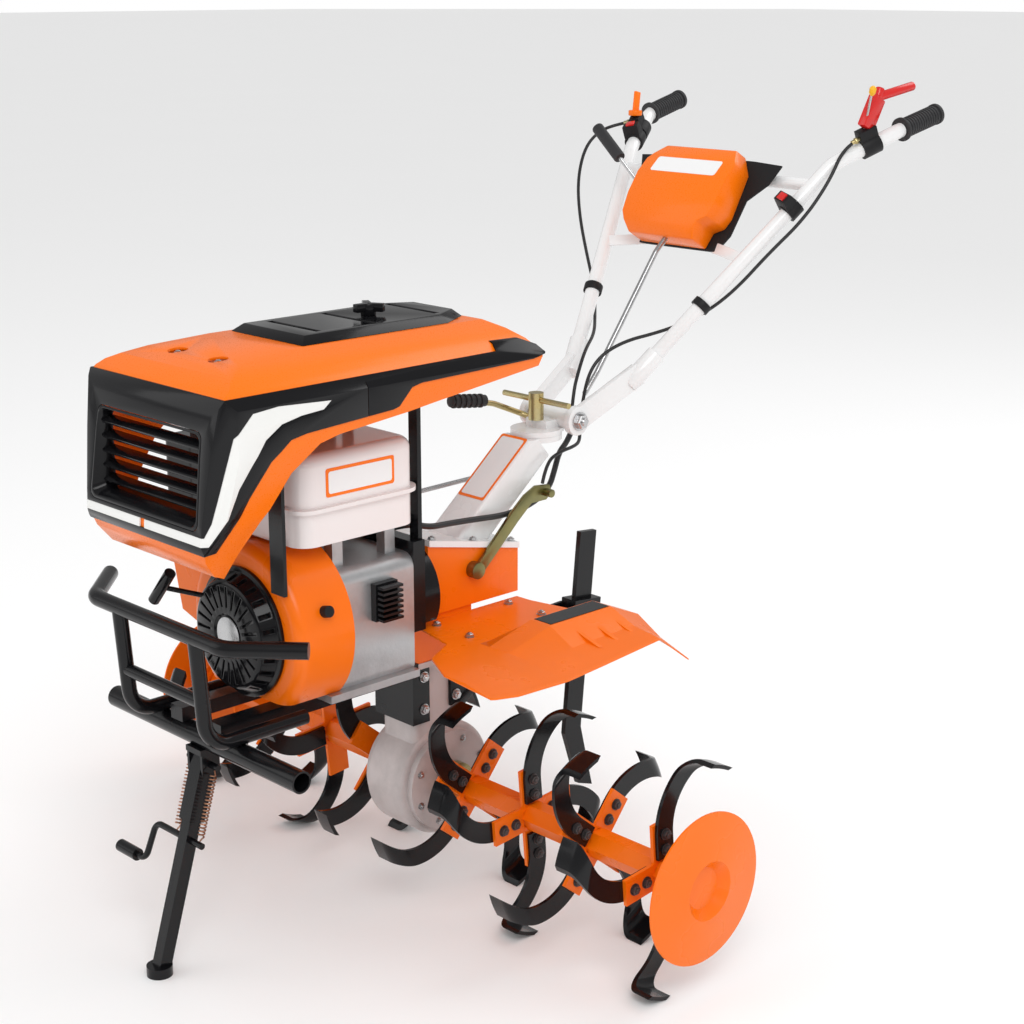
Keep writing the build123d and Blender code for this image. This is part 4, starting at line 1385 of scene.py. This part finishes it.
@dataclass
class Trim:
    """The starter cover, the linkages, springs, blank labels and bolts of the chassis and rotor."""

    crank_z: float = 510.0
    axle_z: float = 174.417
    cover_x: float = 366.0
    cover_slots: int = 24
    spring_y: float = 30.0
    spring_turns: int = 18
    spring_r: float = 4.8
    wire_r: float = 1.2
    stations: tuple[float, ...] = (112.0, 252.0, 392.0, 532.0)
    column_foot: Point = (-98.0, 0.0, 592.0)
    column_lean: float = 50.0
    column_face: float = 29.0
    tank_face: float = 107.0
    stand_pivot: Point = (450.0, 0.0, 321.0)
    bolt_circle: float = 72.0
    bolt_face: float = 58.0
    flange_circles: Flat = (40.0, 66.0)

    def build(self, shop: Workshop) -> None:
        """Makes the trim.

        Args:
            shop: What makes and finishes the pieces.
        """
        self.recoil(shop)
        self.linkage(shop)
        self.springs(shop)
        self.plates(shop)
        self.fasteners(shop)

    def recoil(self, shop: Workshop) -> None:
        """Makes the domed starter cover with its slots and a blank medallion.

        Args:
            shop: What makes and finishes the pieces.
        """
        profile = [(102, 0), (102, 6), (94, 6), (84, 28), (78, 31), (34, 31), (30, 28)]
        cover = lathe(profile, (0, 0, 0), (0, 0, 1), 96)
        cutters = []
        for number in range(self.cover_slots):
            turn = Matrix.Rotation(math.tau * number / self.cover_slots, 4, "Z")
            cutters.append(block((44, 76), (-2, 2), (26, 36)).moved(turn))
            cutters.append(block((84, 100), (-3.5, 3.5), (9, 25)).moved(turn))
        place = Matrix.Translation((self.cover_x, 0, self.crank_z)) @ Matrix.Rotation(math.pi / 2, 4, "Y")
        cover = (cover - joined(cutters)).moved(place)
        shop.piece("recoil_dome", cover, "black_plastic", Body.CHASSIS, ["recoil_cover"], 0.6)
        medal = bar((self.cover_x + 28, 0, self.crank_z), (self.cover_x + 30.4, 0, self.crank_z), 28, 48)
        shop.piece("recoil_blank_medallion", medal, "bright_steel", Body.CHASSIS, (), 0.6)

    def linkage(self, shop: Workshop) -> None:
        """Makes the selector arm, the link rod, the lock lever and the rear plates' gussets.

        Args:
            shop: What makes and finishes the pieces.
        """
        outline = [
            (-42, 524), (-60, 514), (-148, 594), (-180, 620), (-214, 620), (-228, 630),
            (-222, 645), (-190, 648), (-164, 636), (-134, 612),
        ]
        pins = [bar((-214, 60, 633), (-214, 80, 633), 7), bar((-54, 55, 530), (-54, 72, 530), 14)]
        arm = joined([side_prism(outline, 60, 66), *pins])
        shop.piece("selector_arm", arm, "olive_zinc", Body.CHASSIS, ["shift_arm"], 0.8)
        rod = bar((85, -82, 632), (-162, -42, 650), 4)
        shop.piece("link_rod_thin", rod, "bright_steel", Body.CHASSIS, (), 0)
        lock = rounded([(-278, -18, 733), (-258, -46, 745), (-204, -52, 768), (-150, -57, 780)], [20, 60])
        shop.piece("lock_rod", pipe(lock, 5), "yellow_zinc", Body.HEAD, (), 0)
        start, end = Vector((-184, -52.2, 776.2)), Vector((-112, -60.2, 784.2))
        axis = (end - start).normalized()
        grip = [bar(start, end, 10)]
        for number in range(6):
            at = start + axis * (8 + 11 * number)
            grip.append(bar(at, at + axis * 5, 12))
        shop.piece("lock_ribbed_grip", joined(grip), "rubber_grip", Body.HEAD, (), 0.8)
        gusset = side_prism([(-10, 382), (-10, 300), (-44, 296), (-132, 366), (-132, 382)], 42.3, 48)
        shop.piece("hitch_gussets", gusset.both(), "black_paint", Body.CHASSIS, (), 0.8)

    def springs(self, shop: Workshop) -> None:
        """Makes the stand's two coil springs.

        Args:
            shop: What makes and finishes the pieces.
        """
        lean = math.atan2(97, self.stand_pivot[2])
        way = Vector((math.sin(lean), 0, -math.cos(lean)))
        pivot = Vector(self.stand_pivot)
        steps_a_turn = 14
        steps = self.spring_turns * steps_a_turn
        across = Vector((0, 1, 0))
        other = way.cross(across)
        coils = []
        for y in (-self.spring_y, self.spring_y):
            start, end = pivot + way * 6, pivot + way * 116
            start.y = end.y = y
            line = [start]
            for step in range(steps + 1):
                angle = math.tau * step / steps_a_turn
                at = start.lerp(end, 0.06 + 0.88 * step / steps)
                line.append(at + (across * math.cos(angle) + other * math.sin(angle)) * self.spring_r)
            coils.append(pipe(line + [end], self.wire_r, 7))
        shop.piece("stand_coil_springs", joined(coils), "copper_spring", Body.STAND, ["stand_springs"], 0)

    def plates(self, shop: Workshop) -> None:
        """Makes the blank labels on the column and the tank, and the shroud's plug.

        Args:
            shop: What makes and finishes the pieces.
        """
        lean = Matrix.Rotation(math.radians(-self.column_lean), 4, "Y")
        column = Matrix.Translation(self.column_foot) @ lean @ Matrix.Translation((0, 0, 96))
        for name, slot, wide, high, lift in (
            ("column_label_border", "orange_plastic", 62, 136, 0.5),
            ("column_label", "label_white", 53, 126, 0.9),
        ):
            plate = front_prism(rounded_box(wide, high, 4), self.column_face, self.column_face + lift)
            shop.piece(name, plate.moved(column), slot, Body.CHASSIS, (), 0)
        plug = bar((312, 118, 556), (312, 142, 562), 9)
        shop.piece("shroud_plug", plug, "dull_black", Body.CHASSIS, (), 1.0)
        for name, slot, long, high, lift in (
            ("tank_label_border", "orange_plastic", 132, 44, 0.5),
            ("tank_label", "label_white", 122, 34, 0.9),
        ):
            outline = [(220 + x, 746 + z) for x, z in rounded_box(long, high, 4)]
            plate = side_prism(outline, self.tank_face, self.tank_face + lift)
            shop.piece(name, plate, slot, Body.CHASSIS, (), 0)

    def fasteners(self, shop: Workshop) -> None:
        """Sets the bolts on the castings, guards, flanges and frame.

        Args:
            shop: What makes and finishes the pieces.
        """
        steel: list[tuple[Point, Point, float]] = []
        for side in (-1, 1):
            for number in range(8):
                angle = math.radians(22.5 + 45 * number)
                x, z = self.bolt_circle * math.cos(angle), self.bolt_circle * math.sin(angle)
                steel.append(((x, side * self.bolt_face, self.axle_z + z), (0, side, 0), 10))
            for x, z in ((48, 310), (48, 366), (-22, 318), (-22, 366)):
                steel.append(((x, side * 48, z), (0, side, 0), 15))
            steel += [((x, side * y, 459), (0, 0, 1), 13) for x in (-120, 40) for y in (72, 150)]
            steel.append(((428, side * 50, 934), (0, 0, 1), 15))
        for x in (-146, -60, 30):
            z = 556 + (x + 158) * 0.21
            steel += [((x, side * 50, z), (-0.2, 0, 1), 12) for side in (-1, 1)]
        shop.bolts("chassis_bolts", steel, "bright_steel", Body.CHASSIS)
        rotor: list[tuple[Point, Point, float]] = []
        for index, y in enumerate(self.stations):
            first = 270 - 22.5 - 28 + (index % 2) * 45
            for number in range(4):
                angle = math.radians(first + 90 * number)
                face = y + (9 if number % 2 == 0 else 3)
                for radius in self.flange_circles:
                    x, z = radius * math.cos(angle), self.axle_z + radius * math.sin(angle)
                    rotor += [((x, side * face, z), (0, side, 0), 15) for side in (1, -1)]
        shop.bolts("rotor_bolts", rotor, "dark_steel", Body.ROTOR)
        pivots = [((-297, side * 61, 741), (0, side, 0), 26) for side in (-1, 1)]
        shop.bolts("handlebar_bolts", pivots, "bright_steel", Body.HANDLEBAR)


@dataclass
class Studio:
    """The camera of the photograph, a plain pale floor and soft lights."""

    axle: Vector
    camera_from_axle: Point = (1.98040, 2.26874, 1.46146)
    camera_looks: Point = (-0.66726, -0.69513, -0.26750)
    lens: float = 67.38
    floor_size: float = 160.0
    floor_grey: float = 0.93

    def build(self) -> None:
        """Makes the whole set."""
        self.camera()
        self.floor()
        self.lamps()
        self.world()
        bpy.context.scene.view_settings.view_transform = "Standard"

    def camera(self) -> None:
        """Makes the camera at the photograph's place."""
        data = bpy.data.cameras.new("camera")
        data.lens = self.lens
        data.sensor_width = 36.0
        data.clip_end = 100.0
        data.dof.use_dof = False
        camera = linked("camera", data)
        place = Vector(self.camera_from_axle)
        camera.location = Vector((place.x + self.axle.x, place.y + self.axle.y, place.z))
        camera.rotation_mode = "QUATERNION"
        camera.rotation_quaternion = Vector(self.camera_looks).to_track_quat("-Z", "Y")
        bpy.context.scene.camera = camera

    def floor(self) -> None:
        """Makes the pale floor."""
        mesh = bpy.data.meshes.new("floor")
        half = self.floor_size / 2
        mesh.from_pydata(
            [(-half, -half, 0), (half, -half, 0), (half, half, 0), (-half, half, 0)], [], [(0, 1, 2, 3)]
        )
        floor = linked("floor", mesh)
        shader = Shader("floor")
        grey = shader.noise(0.7, 2.0) * 0.01 + (self.floor_grey - 0.005)
        colour = shader.node("ShaderNodeCombineColor", Red=grey, Green=grey, Blue=grey)
        shader.surface(Base_Color=colour.outputs[0], Roughness=0.9)
        mesh.materials.append(shader.material)

    def lamps(self) -> None:
        """Makes three large soft lamps."""
        for name, place, size, watts in (
            ("key", (2.4, 3.4, 4.2), 2.6, 90.0),
            ("fill", (3.8, -2.6, 2.6), 3.0, 25.0),
            ("rim", (-3.4, 0.6, 3.6), 2.6, 40.0),
        ):
            data = bpy.data.lights.new(name, "AREA")
            data.size = size
            data.energy = watts
            lamp = linked(name, data)
            lamp.location = place
            lamp.rotation_mode = "QUATERNION"
            aim = Vector((0, 0, 0.55)) - lamp.location
            lamp.rotation_quaternion = aim.to_track_quat("-Z", "Y")

    def world(self) -> None:
        """Makes a white surround for the camera and transmission, a slightly dimmer one for light, and a
        much dimmer one for reflections.
        """
        world = bpy.data.worlds.new("studio")
        bpy.context.scene.world = world
        world.use_nodes = True
        tree = world.node_tree
        back = tree.nodes["Background"]
        back.inputs[0].default_value = (1, 1, 1, 1)
        rays = tree.nodes.new("ShaderNodeLightPath")
        seen = Sock(tree, rays.outputs["Is Camera Ray"]) + Sock(tree, rays.outputs["Is Transmission Ray"])
        glossy = Sock(tree, rays.outputs["Is Glossy Ray"])
        strength = seen * 0.12 + 0.88 - glossy * 0.45
        tree.links.new(strength.value, back.inputs[1])


class Dresser:
    """Puts a finish on every CAD node by its record slot."""

    def __init__(self, frame: dict) -> None:
        """Builds the finishes.
        """
        self.frame = frame
        self.materials = {name: finish.make() for name, finish in FINISHES.items()}

    def dress(self) -> None:
        """Gives each CAD node its finish."""
        slots = {part["node"]: part["material_slot"] for part in self.frame["record"]["subparts"]}
        for node, piece in self.frame["nodes"].items():
            piece.data.materials.clear()
            piece.data.materials.append(self.materials[slots[node]])
            LOG.info("dressed %s in %s", node, slots[node])


def main() -> None:
    """Builds the scene."""
    logging.basicConfig(level=logging.INFO)
    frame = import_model()
    spin = next(joint for joint in frame["joints"] if joint["name"] == "rotor_spin")
    axle = Vector(spin["pos_m"])
    Studio(axle).build()
    dresser = Dresser(frame)
    dresser.dress()
    shop = Workshop(dresser.materials)
    shop.cable("clutch_cable", CLUTCH_CABLE, 6.0, Body.HANDLEBAR)
    shop.cable("throttle_cable", THROTTLE_CABLE, 6.0, Body.HANDLEBAR)
    shop.cable("selector_cable", SELECTOR_CABLE, 6.0, Body.CHASSIS)
    shop.cable("loom_cable", LOOM_CABLE, 10.0, Body.CHASSIS)
    Hood().build(shop)
    Guards().build(shop)
    Handle().build(shop)
    Trim().build(shop)


if __name__ == "__main__":
    main()
